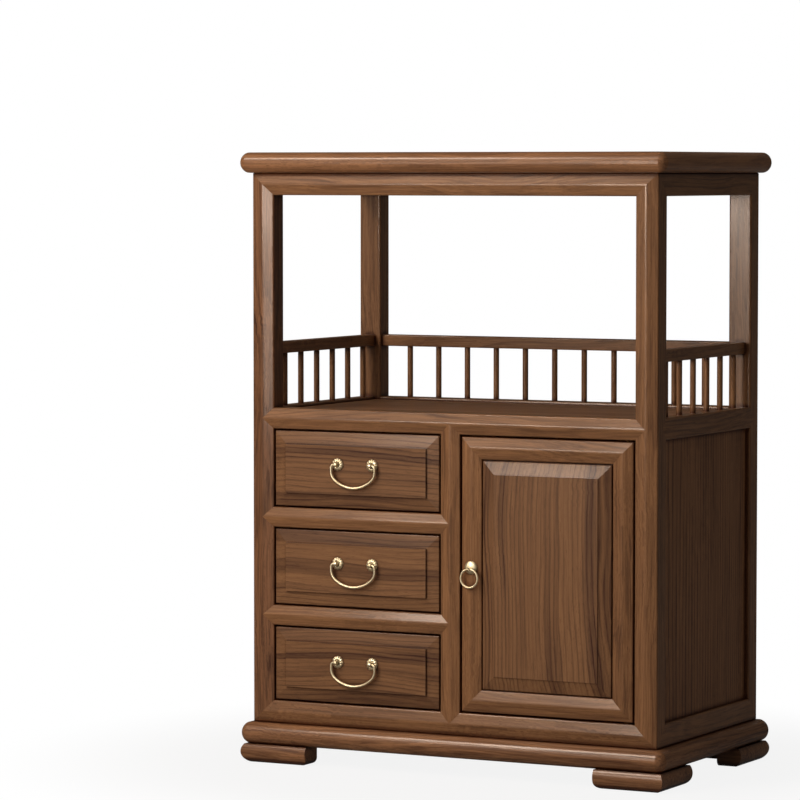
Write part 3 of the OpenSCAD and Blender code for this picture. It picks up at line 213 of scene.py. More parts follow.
def bent_place(tree, straight):
    """Pushes a point sideways, as the grain of a board wanders."""
    slow = noise(tree, straight, SLOW_BEND, detail=1.0)
    uneven = noise(tree, straight, UNEVEN_BEND, detail=1.0)
    quick = noise(tree, straight, QUICK_BEND, detail=2.0)
    curl = noise(tree, straight, CURL, detail=1.0)
    curly = ramp(tree, noise(tree, straight, CURLY_PLACES, detail=1.0), CURLY_FROM, CURLY_FULL)
    bend = maths(tree, "MULTIPLY_ADD", slow, SLOW_PUSH, maths(tree, "MULTIPLY", uneven, UNEVEN_PUSH))
    bend = maths(tree, "MULTIPLY_ADD", quick, QUICK_PUSH, bend)
    bend = maths(tree, "MULTIPLY_ADD", maths(tree, "MULTIPLY", curl, curly), CURL_PUSH, bend)
    sideways = add_node(tree, "ShaderNodeCombineXYZ")
    connect(tree, bend, sideways.inputs[1])
    connect(tree, bend, sideways.inputs[2])
    pushed = add_node(tree, "ShaderNodeVectorMath", operation="ADD")
    connect(tree, straight, pushed.inputs[0])
    connect(tree, sideways.outputs[0], pushed.inputs[1])
    return pushed.outputs[0]


# %% [markdown]
# Within a year the wood starts pale and ends dark, and the next year starts pale again at once.
# Divided by the ring's width, the distance from the axis is a count of years, and its fraction is
# the season. Some years are stronger than others. A run of them is sometimes stained dark by the
# tree's heartwood, so a noise on the count of years draws bands that follow the rings.

# %% Grain: yearly rings
LATE_WOOD_FROM, LATE_WOOD_FULL = 0.50, 0.92
YEAR_END = 0.94
YEAR_STRENGTH, WEAK_YEAR, STRONG_YEAR = (2.5, 38.0, 38.0), 0.22, 0.62
BAND_ALONG, BAND_BY_YEAR = 0.8, 0.34
BAND_FROM, BAND_FULL = 0.48, 0.66


def yearly_rings(tree, place, ring_width):
    """The dark late wood of each year, and the dark bands over some groups of years."""
    parts = add_node(tree, "ShaderNodeSeparateXYZ")
    connect(tree, place, parts.inputs[0])
    across = add_node(tree, "ShaderNodeCombineXYZ")
    connect(tree, parts.outputs[1], across.inputs[1])
    connect(tree, parts.outputs[2], across.inputs[2])
    distance = add_node(tree, "ShaderNodeVectorMath", operation="LENGTH")
    connect(tree, across.outputs[0], distance.inputs[0])
    years = maths(tree, "DIVIDE", distance.outputs["Value"], ring_width)
    season = maths(tree, "FRACT", years)
    late = ramp(tree, season, LATE_WOOD_FROM, LATE_WOOD_FULL)
    ring = maths(tree, "MULTIPLY", late, ramp(tree, season, 1.0, YEAR_END))
    strength = ramp(tree, noise(tree, place, YEAR_STRENGTH, detail=1.0), WEAK_YEAR, STRONG_YEAR)
    by_year = add_node(tree, "ShaderNodeCombineXYZ")
    connect(tree, maths(tree, "MULTIPLY", parts.outputs[0], BAND_ALONG), by_year.inputs[0])
    connect(tree, maths(tree, "MULTIPLY", years, BAND_BY_YEAR), by_year.inputs[1])
    band = ramp(tree, noise(tree, by_year.outputs[0], (1.0, 1.0, 1.0)), BAND_FROM, BAND_FULL)
    return maths(tree, "MULTIPLY", ring, strength), band


# %% [markdown]
# A satin board also shows its fibres as faint streaks a few millimetres wide, finer lines of a
# millimetre or less, broad clouds of stain, and pores like short pen strokes. They read the same
# bent place as the rings, so all lines run together.

# %% Grain: fine lines
STREAK, STREAK_FROM, STREAK_FULL, STREAK_SHARE = (1.6, 150.0, 150.0), 0.38, 0.70, 0.24
FIBRE, FIBRE_FROM, FIBRE_FULL, FIBRE_SHARE = (9.0, 380.0, 380.0), 0.38, 0.62, 0.40
CLOUD, CLOUD_FROM, CLOUD_FULL, CLOUD_SHARE = (2.6, 11.0, 11.0), 0.30, 0.75, 0.18
PORE, PORE_FROM, PORE_FULL = (60.0, 1500.0, 1500.0), 0.60, 0.72
PORE_TINT = (0.35, 0.30, 0.28, 1.0)


def fine_lines(tree, place):
    """The fibres on their own, and the fibres and streaks together."""
    fibre = noise(tree, place, FIBRE, detail=3.0, roughness=0.6)
    streak = ramp(tree, noise(tree, place, STREAK), STREAK_FROM, STREAK_FULL)
    lines = maths(tree, "MULTIPLY", streak, STREAK_SHARE)
    lines = maths(tree, "MULTIPLY_ADD", ramp(tree, fibre, FIBRE_FROM, FIBRE_FULL), FIBRE_SHARE, lines)
    return fibre, lines


# %% [markdown]
# The group adds all of this up to one depth between the pale and the deep colour, and multiplies
# the pores over it. Late wood and pores also lie a trace lower than the rest, and fibres a trace
# higher, which the Height output gives to a Bump node.

# %% Group: wood grain
FIBRE_ROUGH, PORE_ROUGH = 0.10, 0.15
FIBRE_HEIGHT, RING_HEIGHT = 0.35, -0.25


def build_grain_group():
    """Colour, roughness and height from a place in the tree."""
    group, given, result = new_group(
        "Wood grain",
        [("Vector", VECTOR), ("Pale", COLOUR), ("Deep", COLOUR), ("Ring width", VALUE),
         ("Figure", VALUE), ("Bands", VALUE), ("Streaks", VALUE), ("Pores", VALUE),
         ("Roughness", VALUE)],
        [("Colour", COLOUR), ("Roughness", VALUE), ("Height", VALUE)],
    )
    place = bent_place(group, given["Vector"])
    ring, band = yearly_rings(group, place, given["Ring width"])
    fibre, lines = fine_lines(group, place)
    cloud = ramp(group, noise(group, place, CLOUD), CLOUD_FROM, CLOUD_FULL)
    pore = ramp(group, noise(group, place, PORE, detail=1.0), PORE_FROM, PORE_FULL)
    pore = maths(group, "MULTIPLY", pore, given["Pores"])

    depth = maths(group, "MULTIPLY", ring, given["Figure"])
    depth = maths(group, "MULTIPLY_ADD", band, given["Bands"], depth)
    depth = maths(group, "MULTIPLY_ADD", lines, given["Streaks"], depth)
    depth = maths(group, "MULTIPLY_ADD", cloud, CLOUD_SHARE, depth)
    depth = maths(group, "MINIMUM", depth, 1.0)
    colour = mix_colours(group, depth, given["Pale"], given["Deep"])
    pore_colour = mix_colours(group, 1.0, colour, PORE_TINT, "MULTIPLY")
    connect(group, mix_colours(group, pore, colour, pore_colour), result["Colour"])

    rough = maths(group, "MULTIPLY_ADD", fibre, FIBRE_ROUGH, given["Roughness"])
    connect(group, maths(group, "MULTIPLY_ADD", pore, PORE_ROUGH, rough), result["Roughness"])
    raised = maths(group, "MULTIPLY", fibre, FIBRE_HEIGHT)
    height = maths(group, "MULTIPLY_ADD", ring, RING_HEIGHT, raised)
    connect(group, maths(group, "SUBTRACT", height, pore), result["Height"])
    return group


grain_group = build_grain_group()
print("grain group nodes:", len(grain_group.nodes))

# %% [markdown]
# Satin lacquer is a clear skin over the stain. It is rubbed by hand and nowhere quite even, so
# its gloss drifts over a few centimetres. The group gives that drift as the weight of a coat,
# which leaves the wood's own roughness alone.

# %% Group: lacquer drift
DRIFT = (9.0, 9.0, 9.0)
DRIFT_FROM, DRIFT_FULL = 0.2, 0.8
THINNEST = 0.7


def build_lacquer_group():
    """The weight of the coat, a little different from place to place."""
    sockets = [("Vector", VECTOR), ("Coat", VALUE)]
    group, given, result = new_group("Lacquer drift", sockets, [("Coat", VALUE)])
    thick = ramp(group, noise(group, given["Vector"], DRIFT), DRIFT_FROM, DRIFT_FULL)
    share = maths(group, "MULTIPLY_ADD", thick, 1.0 - THINNEST, THINNEST)
    connect(group, maths(group, "MULTIPLY", given["Coat"], share), result["Coat"])
    return group


lacquer_group = build_lacquer_group()
print("lacquer group nodes:", len(lacquer_group.nodes))

# %% [markdown]
# Shade falls in corners, steps and joints, and every moulding is drawn by those dark lines. Here
# they are painted shade: the colour there is made deeper and redder, which stands for contact
# shadow and also darkens the seams between separate parts. Painting them by hand would need a map
# for every board. An Ambient Occlusion node finds them from the shape instead: it says how open a
# point is within a short reach. The mask is 1 on open faces and 0 in hollows.

# %% Hollow helpers
HOLLOW_SAMPLES = 8
HOLLOW_REACH = 10 * MM
HOLLOW_CLOSED, HOLLOW_OPEN = 0.64, 0.975
PAINTED_SHADE_COLOUR = (0.36, 0.23, 0.16, 1.0)


def open_faces(tree, reach, closed, wide_open):
    """A mask of open faces, from how much lies within reach of each point."""
    hollow = add_node(tree, "ShaderNodeAmbientOcclusion", samples=HOLLOW_SAMPLES)
    hollow.inputs["Distance"].default_value = reach
    return ramp(tree, hollow.outputs["AO"], closed, wide_open)


def with_painted_shade(tree, colour):
    """A colour with painted shade, deeper and redder, laid in hollows and seams."""
    painted_shade = mix_colours(tree, 1.0, colour, PAINTED_SHADE_COLOUR, "MULTIPLY")
    open_mask = open_faces(tree, HOLLOW_REACH, HOLLOW_CLOSED, HOLLOW_OPEN)
    return mix_colours(tree, open_mask, painted_shade, colour)


# The painted shade reaches this far from a corner or seam.
print("stain gathers within", round(HOLLOW_REACH / MM), "mm")

# %% [markdown]
# Every board is sawn from its own place in the tree. The Mapping node turns the board's length to
# the first axis, centres it on the board's middle and then sets it beside the heart, a little
# differently for each board, so that no two show the same figure. Near the heart a board shows
# arches, and far from it straight lines.

# %% Board helpers
ALONG = {"x": (0.0, 0.0, 0.0), "y": (0.0, 0.0, math.radians(-90)), "z": (0.0, math.radians(90), 0.0)}
NEXT_LENGTH = 1.37
STEP_OUT, STEP_UP = 0.013, 0.009


def middle_of(solid):
    """The middle of a solid's box in its own coordinates."""
    corners = [Vector(corner) for corner in solid.bound_box]
    return sum(corners, Vector()) / len(corners)


def board_place(tree, grain, board, middle, heart):
    """Turns and moves object coordinates to this board's place in the tree."""
    out, up = heart[0] + STEP_OUT * (board % 5), heart[1] + STEP_UP * (board % 7)
    coordinates = add_node(tree, "ShaderNodeTexCoord")
    mapping = add_node(tree, "ShaderNodeMapping")
    mapping.inputs["Rotation"].default_value = ALONG[grain]
    turned = Euler(ALONG[grain]).to_matrix() @ middle
    mapping.inputs["Location"].default_value = Vector((NEXT_LENGTH * board, out, up)) - turned
    connect(tree, coordinates.outputs["Object"], mapping.inputs["Vector"])
    return mapping.outputs[0]


# %% [markdown]
# One recipe then makes a material for each board: the grain's group for colour, roughness and
# height, the mask of open faces for painted shade in hollows and seams, and the lacquer as a
# coat. The coat is smoother than the wood, which lays a sharper sheen over a broad soft one. The
# shader itself stays outside the groups, and what is the same all over is set on its own sockets.

# %% Wood recipe
GRAIN_STRENGTH, GRAIN_DEPTH = 0.25, 0.15 * MM
COAT_ROUGHNESS = 0.18
WOOD_SHINE = 0.2


def stained_wood(
    name, grain, board, middle, pale, deep, heart=(0.30, 0.10), ring_mm=9.0, figure=0.24, bands=0.12,
    streaks=1.0, pores=0.5, roughness=0.40, coat=0.65,
):
    """A material for one board, cut from its own place in the tree."""
    material = bpy.data.materials.new(name)
    material.use_nodes = True
    tree = material.node_tree
    shader = tree.nodes["Principled BSDF"]
    place = board_place(tree, grain, board, middle, heart)
    wood = place_group(tree, grain_group, place, {
        "Pale": pale, "Deep": deep, "Ring width": ring_mm * MM, "Figure": figure, "Bands": bands,
        "Streaks": streaks, "Pores": pores, "Roughness": roughness,
    })
    lacquer = place_group(tree, lacquer_group, place, {"Coat": coat})

    # The base colour carries painted shade in hollows and seams.
    connect(tree, with_painted_shade(tree, wood["Colour"]), shader.inputs["Base Color"])
    connect(tree, wood["Roughness"], shader.inputs["Roughness"])
    normal = relief(tree, wood["Height"], GRAIN_STRENGTH, GRAIN_DEPTH)
    connect(tree, normal, shader.inputs["Normal"])
    connect(tree, lacquer["Coat"], shader.inputs["Coat Weight"])
    shader.inputs["Coat Roughness"].default_value = COAT_ROUGHNESS
    shader.inputs["Specular IOR Level"].default_value = WOOD_SHINE
    return material


# %% [markdown]
# One stain covers the cabinet, yet its boards differ. The drawers' fronts and the door's panel are
# picked for their figure, with thin even lines and a few dark bands. Posts and rails are plainer
# and streaky. The front left post gets a darker copy of their stain, which is painted shade. The
# top board is a little lighter, and the plinth's paler stain also partly paints the light that its
# moulding catches from above. What the stain never reaches inside stays pale and matt. Each stain
# is a pale and a deep colour with the recipe's values.

# %% Stains
FRAME_STAIN = dict(
    pale=screen_colour(141, 102, 68), deep=screen_colour(66, 41, 26), streaks=0.8, bands=0.06,
)
# A darker copy of the frame's stain for the front left post: painted shade.
SHADED_POST_STAIN = dict(
    pale=screen_colour(128, 90, 62), deep=screen_colour(54, 32, 21), streaks=1.0, bands=0.06,
)
TOP_STAIN = dict(
    pale=screen_colour(151, 109, 75), deep=screen_colour(74, 46, 30), streaks=0.8, bands=0.06,
)
PANEL_STAIN = dict(
    pale=screen_colour(131, 96, 65), deep=screen_colour(56, 33, 25), figure=0.36, bands=0.40,
    ring_mm=8.0, heart=(0.05, 0.21), streaks=0.45, coat=0.35,
)
SIDE_STAIN = dict(
    pale=screen_colour(152, 112, 80), deep=screen_colour(68, 42, 31), figure=0.55, bands=0.22,
    ring_mm=8.0, heart=(0.24, 0.06), streaks=0.6, coat=0.12,
)
# The plinth's stain is its own colour, set paler to carry painted light on its moulding.
PLINTH_STAIN_AND_LIGHT = dict(pale=screen_colour(150, 109, 76), deep=screen_colour(74, 45, 29), figure=0.22)
INNER_STAIN = dict(
    pale=screen_colour(196, 160, 118), deep=screen_colour(160, 118, 80), figure=0.35, ring_mm=6.0,
    roughness=0.55, coat=0.05,
)
for title, stain in {"frame": FRAME_STAIN, "panels": PANEL_STAIN, "inside": INNER_STAIN}.items():
    print(title, "stain, pale over deep:", round(stain["pale"][0] / stain["deep"][0], 1))

# %% [markdown]
# Every solid of the frame keeps its shape and gets a board of its own. Grain has to follow the
# length of a piece, as short grain across it would snap. So rails run along X, side rails along
# Y, and posts, stiles and the door's panel along Z.

# %% Boards and their grain
BOARDS = [
    ("top_frame_front", "x", TOP_STAIN), ("top_frame_rear", "x", TOP_STAIN),
    ("top_frame_sides", "y", TOP_STAIN), ("top_panel", "x", TOP_STAIN),
    ("front_left_post", "z", SHADED_POST_STAIN), ("front_right_post", "z", FRAME_STAIN),
    ("rear_posts", "z", FRAME_STAIN),
    ("upper_front_rail", "x", FRAME_STAIN), ("upper_rear_rail", "x", FRAME_STAIN),
    ("upper_side_rails", "y", FRAME_STAIN),
    ("deck_front_rail", "x", FRAME_STAIN), ("deck_rear_rail", "x", FRAME_STAIN),
    ("deck_side_rails", "y", FRAME_STAIN), ("deck_panel", "x", SIDE_STAIN),
    ("gallery_back_rail", "x", FRAME_STAIN), ("gallery_side_rails", "y", FRAME_STAIN),
    ("gallery_spindles", "z", FRAME_STAIN),
    ("centre_stile", "z", FRAME_STAIN), ("drawer_dividers", "x", FRAME_STAIN),
    ("base_front_rail", "x", FRAME_STAIN), ("base_rear_rail", "x", FRAME_STAIN),
    ("base_side_rails", "y", FRAME_STAIN),
    ("side_panels", "z", SIDE_STAIN), ("back_panel", "z", INNER_STAIN),
    ("floor_panel", "x", INNER_STAIN), ("partition", "y", INNER_STAIN),
    ("drawer_runners", "y", INNER_STAIN), ("inner_shelf", "x", INNER_STAIN),
    ("shelf_battens", "y", INNER_STAIN), ("door_stop", "x", INNER_STAIN),
    ("plinth_front", "x", PLINTH_STAIN_AND_LIGHT), ("plinth_rear", "x", PLINTH_STAIN_AND_LIGHT),
    ("plinth_sides", "y", PLINTH_STAIN_AND_LIGHT),
    ("front_feet", "x", PLINTH_STAIN_AND_LIGHT), ("rear_feet", "x", PLINTH_STAIN_AND_LIGHT),
    ("door_stiles", "z", FRAME_STAIN), ("door_rails", "x", FRAME_STAIN),
    ("door_panel", "z", PANEL_STAIN),
]
for level in ("top", "middle", "bottom"):
    BOARDS.append((f"{level}_drawer_front", "x", PANEL_STAIN))
    BOARDS.append((f"{level}_drawer_sides", "y", INNER_STAIN))
    BOARDS.append((f"{level}_drawer_back", "x", INNER_STAIN))
    BOARDS.append((f"{level}_drawer_floor", "y", INNER_STAIN))
print("boards listed:", len(BOARDS))


# %% Finish the frame's solids
def finish_solid(name, material):
    """Puts one material on a solid of the frame."""
    solid = nodes[name]
    for place in range(max(1, len(solid.material_slots))):
        if place < len(solid.material_slots):
            solid.material_slots[place].material = material
        else:
            solid.data.materials.append(material)


for number, (name, grain, stain) in enumerate(BOARDS):
    middle = middle_of(nodes[name])
    finish_solid(name, stained_wood(f"wood_{name}", grain, number, middle, **stain))
print("boards finished:", len(BOARDS))

# %% [markdown]
# The pulls are polished brass under thin lacquer. Handling keeps the high places bright, and a
# faint brown tarnish stays in patches. Tarnish is a mask from noise that darkens the metal and
# roughens it, and fine specks give the cast skin a little tooth.

# %% Group: tarnish
PATCH, PATCH_FROM, PATCH_FULL = (140.0, 140.0, 140.0), 0.42, 0.75
PATCH_SHARE, PATCH_ROUGH = 0.6, 0.12
SPECK, SPECK_ROUGH = (1100.0, 1100.0, 1100.0), 0.05


def build_tarnish_group():
    """Colour, roughness and height of metal with patches of tarnish."""
    group, given, result = new_group(
        "Tarnish",
        [("Vector", VECTOR), ("Bright", COLOUR), ("Dull", COLOUR), ("Roughness", VALUE)],
        [("Colour", COLOUR), ("Roughness", VALUE), ("Height", VALUE)],
    )
    patch = ramp(group, noise(group, given["Vector"], PATCH, detail=3.0), PATCH_FROM, PATCH_FULL)
    speck = noise(group, given["Vector"], SPECK)
    amount = maths(group, "MULTIPLY", patch, PATCH_SHARE)
    connect(group, mix_colours(group, amount, given["Bright"], given["Dull"]), result["Colour"])
    rough = maths(group, "MULTIPLY_ADD", patch, PATCH_ROUGH, given["Roughness"])
    connect(group, maths(group, "MULTIPLY_ADD", speck, SPECK_ROUGH, rough), result["Roughness"])
    connect(group, speck, result["Height"])
    return group


tarnish_group = build_tarnish_group()
print("tarnish group nodes:", len(tarnish_group.nodes))

# %% [markdown]
# Tarnish also settles where no polishing cloth reaches, such as the grooves of a rosette. The
# same mask of open faces as on the wood, with a shorter reach, lays a brown film there. The
# door's pivot pins are never polished at all and get a darker brass.

# %% Brass recipe
TARNISH_REACH = 4 * MM
TARNISH_CLOSED, TARNISH_OPEN = 0.35, 0.85
TARNISH_COLOUR = screen_colour(96, 78, 42)
SPECK_STRENGTH, SPECK_DEPTH = 0.1, 0.03 * MM


def polished_brass(name, bright, dull, roughness):
    """Brass with patches of tarnish, and a brown film of it in hollows."""
    material = bpy.data.materials.new(name)
    material.use_nodes = True
    tree = material.node_tree
    shader = tree.nodes["Principled BSDF"]
    place = add_node(tree, "ShaderNodeTexCoord").outputs["Object"]
    values = {"Bright": bright, "Dull": dull, "Roughness": roughness}
    metal = place_group(tree, tarnish_group, place, values)
    open_mask = open_faces(tree, TARNISH_REACH, TARNISH_CLOSED, TARNISH_OPEN)

    colour = mix_colours(tree, open_mask, TARNISH_COLOUR, metal["Colour"])
    connect(tree, colour, shader.inputs["Base Color"])
    connect(tree, metal["Roughness"], shader.inputs["Roughness"])
    normal = relief(tree, metal["Height"], SPECK_STRENGTH, SPECK_DEPTH)
    connect(tree, normal, shader.inputs["Normal"])
    shader.inputs["Metallic"].default_value = 1.0
    return material


brass = polished_brass("brass", screen_colour(246, 236, 204), screen_colour(206, 190, 146), 0.40)
dark_brass = polished_brass("dark_brass", screen_colour(84, 60, 40), screen_colour(58, 40, 28), 0.45)
finish_solid("door_pivots", dark_brass)
print("metals:", brass.name, dark_brass.name)

# %% [markdown]
# Small castings are easiest to draw in millimetres around their own pivot, with X to the right,
# Y into the cabinet and Z up. The helper below closes a finished shape, scales it to metres and
# sets it on the joint that the frame gives. It marks every crease as sharp, and lets the new
# piece ride on its body and stand for the plain solid that it covers.

# %% Piece helper
PIVOTS = {joint["name"]: Vector(joint["pos_m"]) for joint in frame["joints"] if "pos_m" in joint}
CREASE = math.radians(38)
SAME_POINT = 0.001
brass_pieces = []


def finish_piece(name, shape, place, body, replaced):
    """Makes an object of a shape, in brass, at its place and on its body."""
    bmesh.ops.remove_doubles(shape, verts=shape.verts, dist=SAME_POINT)
    bmesh.ops.holes_fill(shape, edges=shape.edges, sides=0)
    bmesh.ops.recalc_face_normals(shape, faces=shape.faces)
    bmesh.ops.scale(shape, vec=(MM, MM, MM), verts=shape.verts)
    bmesh.ops.translate(shape, vec=place, verts=shape.verts)
    for face in shape.faces:
        face.smooth = True
    for edge in shape.edges:
        edge.smooth = edge.calc_face_angle(0.0) < CREASE
    mesh = bpy.data.meshes.new(name)
    shape.to_mesh(mesh)
    shape.free()
    mesh.materials.append(brass)
    piece = bpy.data.objects.new(name, mesh)
    bpy.context.scene.collection.objects.link(piece)
    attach(piece, body)
    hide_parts(replaced)
    brass_pieces.append(piece)
    print(name, len(mesh.vertices), "vertices")


# %% [markdown]
# Turned and cast parts have round outlines. A turned part is a profile that is spun around an
# axis, as on a lathe. A rod is a cone with the same radius at both ends, and a bevel on its rims
# takes off the sharp edge.

# %% Helpers for turned shapes and rods
TOWARD_BACK = (0, 1, 0)
ROD_AXIS = Vector((0, 0, 1))


def turned(shape, profile, centre=(0, 0, 0), steps=72):
    """Turns a profile of (radius, height) around an axis that points out of the front."""
    points = [shape.verts.new((radius + centre[0], -height, centre[2])) for radius, height in profile]
    edges = [shape.edges.new(pair) for pair in zip(points, points[1:])]
    bmesh.ops.spin(
        shape, geom=points + edges, cent=centre, axis=TOWARD_BACK, angle=math.tau, steps=steps,
        use_merge=True,
    )


def rod(shape, start, end, radius, sides=32, bevel=0.0):
    """A straight rod between two points."""
    start, end = Vector(start), Vector(end)
    turn = ROD_AXIS.rotation_difference(end - start).to_matrix().to_4x4()
    made = bmesh.ops.create_cone(
        shape, cap_ends=True, segments=sides, radius1=radius, radius2=radius,
        depth=(end - start).length, matrix=Matrix.Translation((start + end) / 2) @ turn,
    )["verts"]
    faces = {face for vert in made for face in vert.link_faces}
    if bevel:
        rims = {edge for face in faces if len(face.verts) > 4 for edge in face.edges}
        bmesh.ops.bevel(
            shape, geom=list(rims), offset=bevel, affect="EDGES", segments=3, profile=0.5, material=-1,
        )


# %% [markdown]
# A bent wire is drawn in the way that a real one is bent. It starts as a round outline, which is
# extruded along each straight run and spun around the centre of each bend. Every helper gives
# back the outline at the wire's new end, and the next one goes on from there.

# %% Helpers for bent wire
WIRE_SIDES = 20


def wire_start(shape, centre, radius, facing):
    """The round outline of a wire's first end."""
    turn = ROD_AXIS.rotation_difference(Vector(facing)).to_matrix().to_4x4()
    made = bmesh.ops.create_circle(
        shape, segments=WIRE_SIDES, radius=radius, matrix=Matrix.Translation(centre) @ turn,
    )["verts"]
    return list({edge for vert in made for edge in vert.link_edges})


def wire_run(shape, outline, step, growth=1.0):
    """Draws the wire on in a straight line, and changes its thickness if asked."""
    made = bmesh.ops.extrude_edge_only(shape, edges=outline)["geom"]
    points = [item for item in made if isinstance(item, bmesh.types.BMVert)]
    bmesh.ops.translate(shape, vec=step, verts=points)
    middle = sum((point.co for point in points), Vector()) / len(points)
    bmesh.ops.scale(shape, vec=(growth,) * 3, verts=points, space=Matrix.Translation(-middle))
    edges = [item for item in made if isinstance(item, bmesh.types.BMEdge)]
    return [edge for edge in edges if all(vert in points for vert in edge.verts)]


def wire_bend(shape, outline, centre, degrees, steps):
    """Bends the wire around a centre in the plane of the front."""
    points = list({vert for edge in outline for vert in edge.verts})
    made = bmesh.ops.spin(
        shape, geom=points + outline, cent=centre, axis=TOWARD_BACK, angle=math.radians(degrees),
        steps=steps,
    )["geom_last"]
    return [item for item in made if isinstance(item, bmesh.types.BMEdge)]


# %% [markdown]
# A bail is one piece of brass wire bent cold around pegs. Its ends turn inwards as pins, each arm
# drops a little, and two corner bends run into a shallow grip that is a trace thicker in the
# middle, where the fingers pull. The wire is drawn in that order from one pin to the other. The
# grip's radius is worked out so that it leaves the corner bends without a kink.

# %% Sizes of a bail
BAIL_HALF = 41.7
BAIL_DROP = 39.0
BAIL_ARM = 11.0
BEND_R = 5.0
CORNER_R = 20.0
PIN_IN = 30.2
WIRE_R = 2.15
GRIP_SWELL = 0.12

corner_x = BAIL_HALF - CORNER_R
corner_dip = BAIL_DROP - BAIL_ARM - CORNER_R
grip_r = BAIL_DROP - BAIL_ARM + (corner_x ** 2 - corner_dip ** 2) / (2 * corner_dip)
grip_z = grip_r - BAIL_DROP
grip_angle = math.degrees(math.atan2(corner_x, grip_z + BAIL_ARM))
print("grip radius", round(grip_r, 1), "mm, half angle", round(grip_angle, 1), "degrees")

# %% Bails
BEND_STEPS, CORNER_STEPS, GRIP_STEPS = 8, 12, 36


def bail_shape():
    """The wire from the left pin round to the right pin, then the grip's swelling."""
    shape = bmesh.new()
    pin = BAIL_HALF - BEND_R - PIN_IN
    end = wire_start(shape, (-PIN_IN, 0, 0), WIRE_R, (1, 0, 0))
    end = wire_run(shape, end, (-pin, 0, 0))
    end = wire_bend(shape, end, (BEND_R - BAIL_HALF, 0, -BEND_R), -90, BEND_STEPS)
    end = wire_run(shape, end, (0, 0, BEND_R - BAIL_ARM))
    end = wire_bend(shape, end, (-corner_x, 0, -BAIL_ARM), grip_angle - 90, CORNER_STEPS)
    end = wire_bend(shape, end, (0, 0, grip_z), -2 * grip_angle, GRIP_STEPS)
    end = wire_bend(shape, end, (corner_x, 0, -BAIL_ARM), grip_angle - 90, CORNER_STEPS)
    end = wire_run(shape, end, (0, 0, BAIL_ARM - BEND_R))
    end = wire_bend(shape, end, (BAIL_HALF - BEND_R, 0, -BEND_R), -90, BEND_STEPS)
    wire_run(shape, end, (-pin, 0, 0))
    for vert in shape.verts:
        if vert.co.z < -BAIL_ARM and abs(vert.co.x) < corner_x:
            swell = GRIP_SWELL * math.cos(vert.co.x / corner_x * math.pi / 2)
            spoke = Vector((vert.co.x, 0, vert.co.z - grip_z))
            wire_middle = Vector((0, 0, grip_z)) + spoke.normalized() * grip_r
            vert.co += (vert.co - wire_middle) * swell
    return shape


for level in ("top", "middle", "bottom"):
    swing = PIVOTS[f"bail_{level}_swing"]
    finish_piece(f"{level}_bail_wire", bail_shape(), swing, f"bail_{level}", f"{level}_bail")

# %% [markdown]
# The rosettes are castings: twelve petals around a groove and a neck, with a round knuckle that
# holds the pin of the bail. A profile is turned, and the petals are then pressed into it by
# moving its points. The neck's screw runs back through the drawer's front to a nut.

# %% Sizes of a rosette
KNUCKLE_X, KNUCKLE_R, KNUCKLE_HALF, KNUCKLE_ROUND = 33.0, 4.2, 3.2, 1.3
REACH = 8.0
PETALS = 12
PETAL_STEPS = 8
PETAL_CUT, PETAL_DIP = 0.08, 0.24
PETAL_FROM, PETAL_FADE = 5.2, 4.0
EYE_RIM, EYE_SLOPE, EYE_DEPTH = 0.5, 0.1, -0.7
ROSETTE_PROFILE = [
    (11.0, 0.0), (11.0, 0.9), (10.5, 1.9), (9.2, 2.9), (7.4, 3.6), (5.8, 3.8), (4.9, 3.5), (4.4, 2.9),
    (3.9, 3.1), (3.3, 4.0), (3.0, 5.2), (2.9, 7.0),
]
FRONT_BOX = nodes["top_drawer_front"].bound_box
FRONT_T = (FRONT_BOX[6][1] - FRONT_BOX[0][1]) / MM
SCREW_FROM, SCREW_R = -0.5, 2.0
NUT_R, NUT_T, NUT_BEVEL = 4.5, 3.0, 0.4
print("drawer front thickness in mm:", round(FRONT_T, 2))


# %% Screw helper
def screw_and_nut(shape, start, thickness):
    """A screw that goes back through wood of a thickness, and the nut behind it."""
    rod(shape, (0, start, 0), (0, thickness + NUT_T, 0), SCREW_R)
    rod(shape, (0, thickness, 0), (0, thickness + NUT_T, 0), NUT_R, sides=6, bevel=NUT_BEVEL)


# %% Rosettes
def press_petals(shape):
    """Draws the points between two petals inwards and back."""
    for vert in shape.verts:
        radius = math.hypot(vert.co.x, vert.co.z)
        petal = abs(math.cos(math.atan2(vert.co.z, vert.co.x) * PETALS / 2))
        amount = min(1.0, max(0.0, (radius - PETAL_FROM) / PETAL_FADE)) * (1 - petal)
        vert.co.x *= 1 - PETAL_CUT * amount
        vert.co.z *= 1 - PETAL_CUT * amount
        vert.co.y *= 1 - PETAL_DIP * amount


def rosette_shape(side):
    """One rosette with its knuckle, screw and nut, on the left (-1) or the right (1)."""
    shape = bmesh.new()
    turned(shape, ROSETTE_PROFILE, steps=PETALS * PETAL_STEPS)
    bmesh.ops.remove_doubles(shape, verts=shape.verts, dist=SAME_POINT)
    press_petals(shape)
    left, right = (-KNUCKLE_HALF, -REACH, 0), (KNUCKLE_HALF, -REACH, 0)
    rod(shape, left, right, KNUCKLE_R, bevel=KNUCKLE_ROUND)
    # Only the knuckle's flat ends have more than 20 corners. A dimple is sunk into each.
    many_sided = [face for face in shape.faces if len(face.verts) > 20]
    ends = [face for face in many_sided if face.calc_center_median().y < -REACH + 1]
    bmesh.ops.inset_region(shape, faces=ends, thickness=EYE_RIM)
    bmesh.ops.inset_region(shape, faces=ends, thickness=EYE_SLOPE, depth=EYE_DEPTH)
    screw_and_nut(shape, SCREW_FROM, FRONT_T)
    bmesh.ops.translate(shape, vec=(side * KNUCKLE_X, REACH, 0), verts=shape.verts)
    return shape


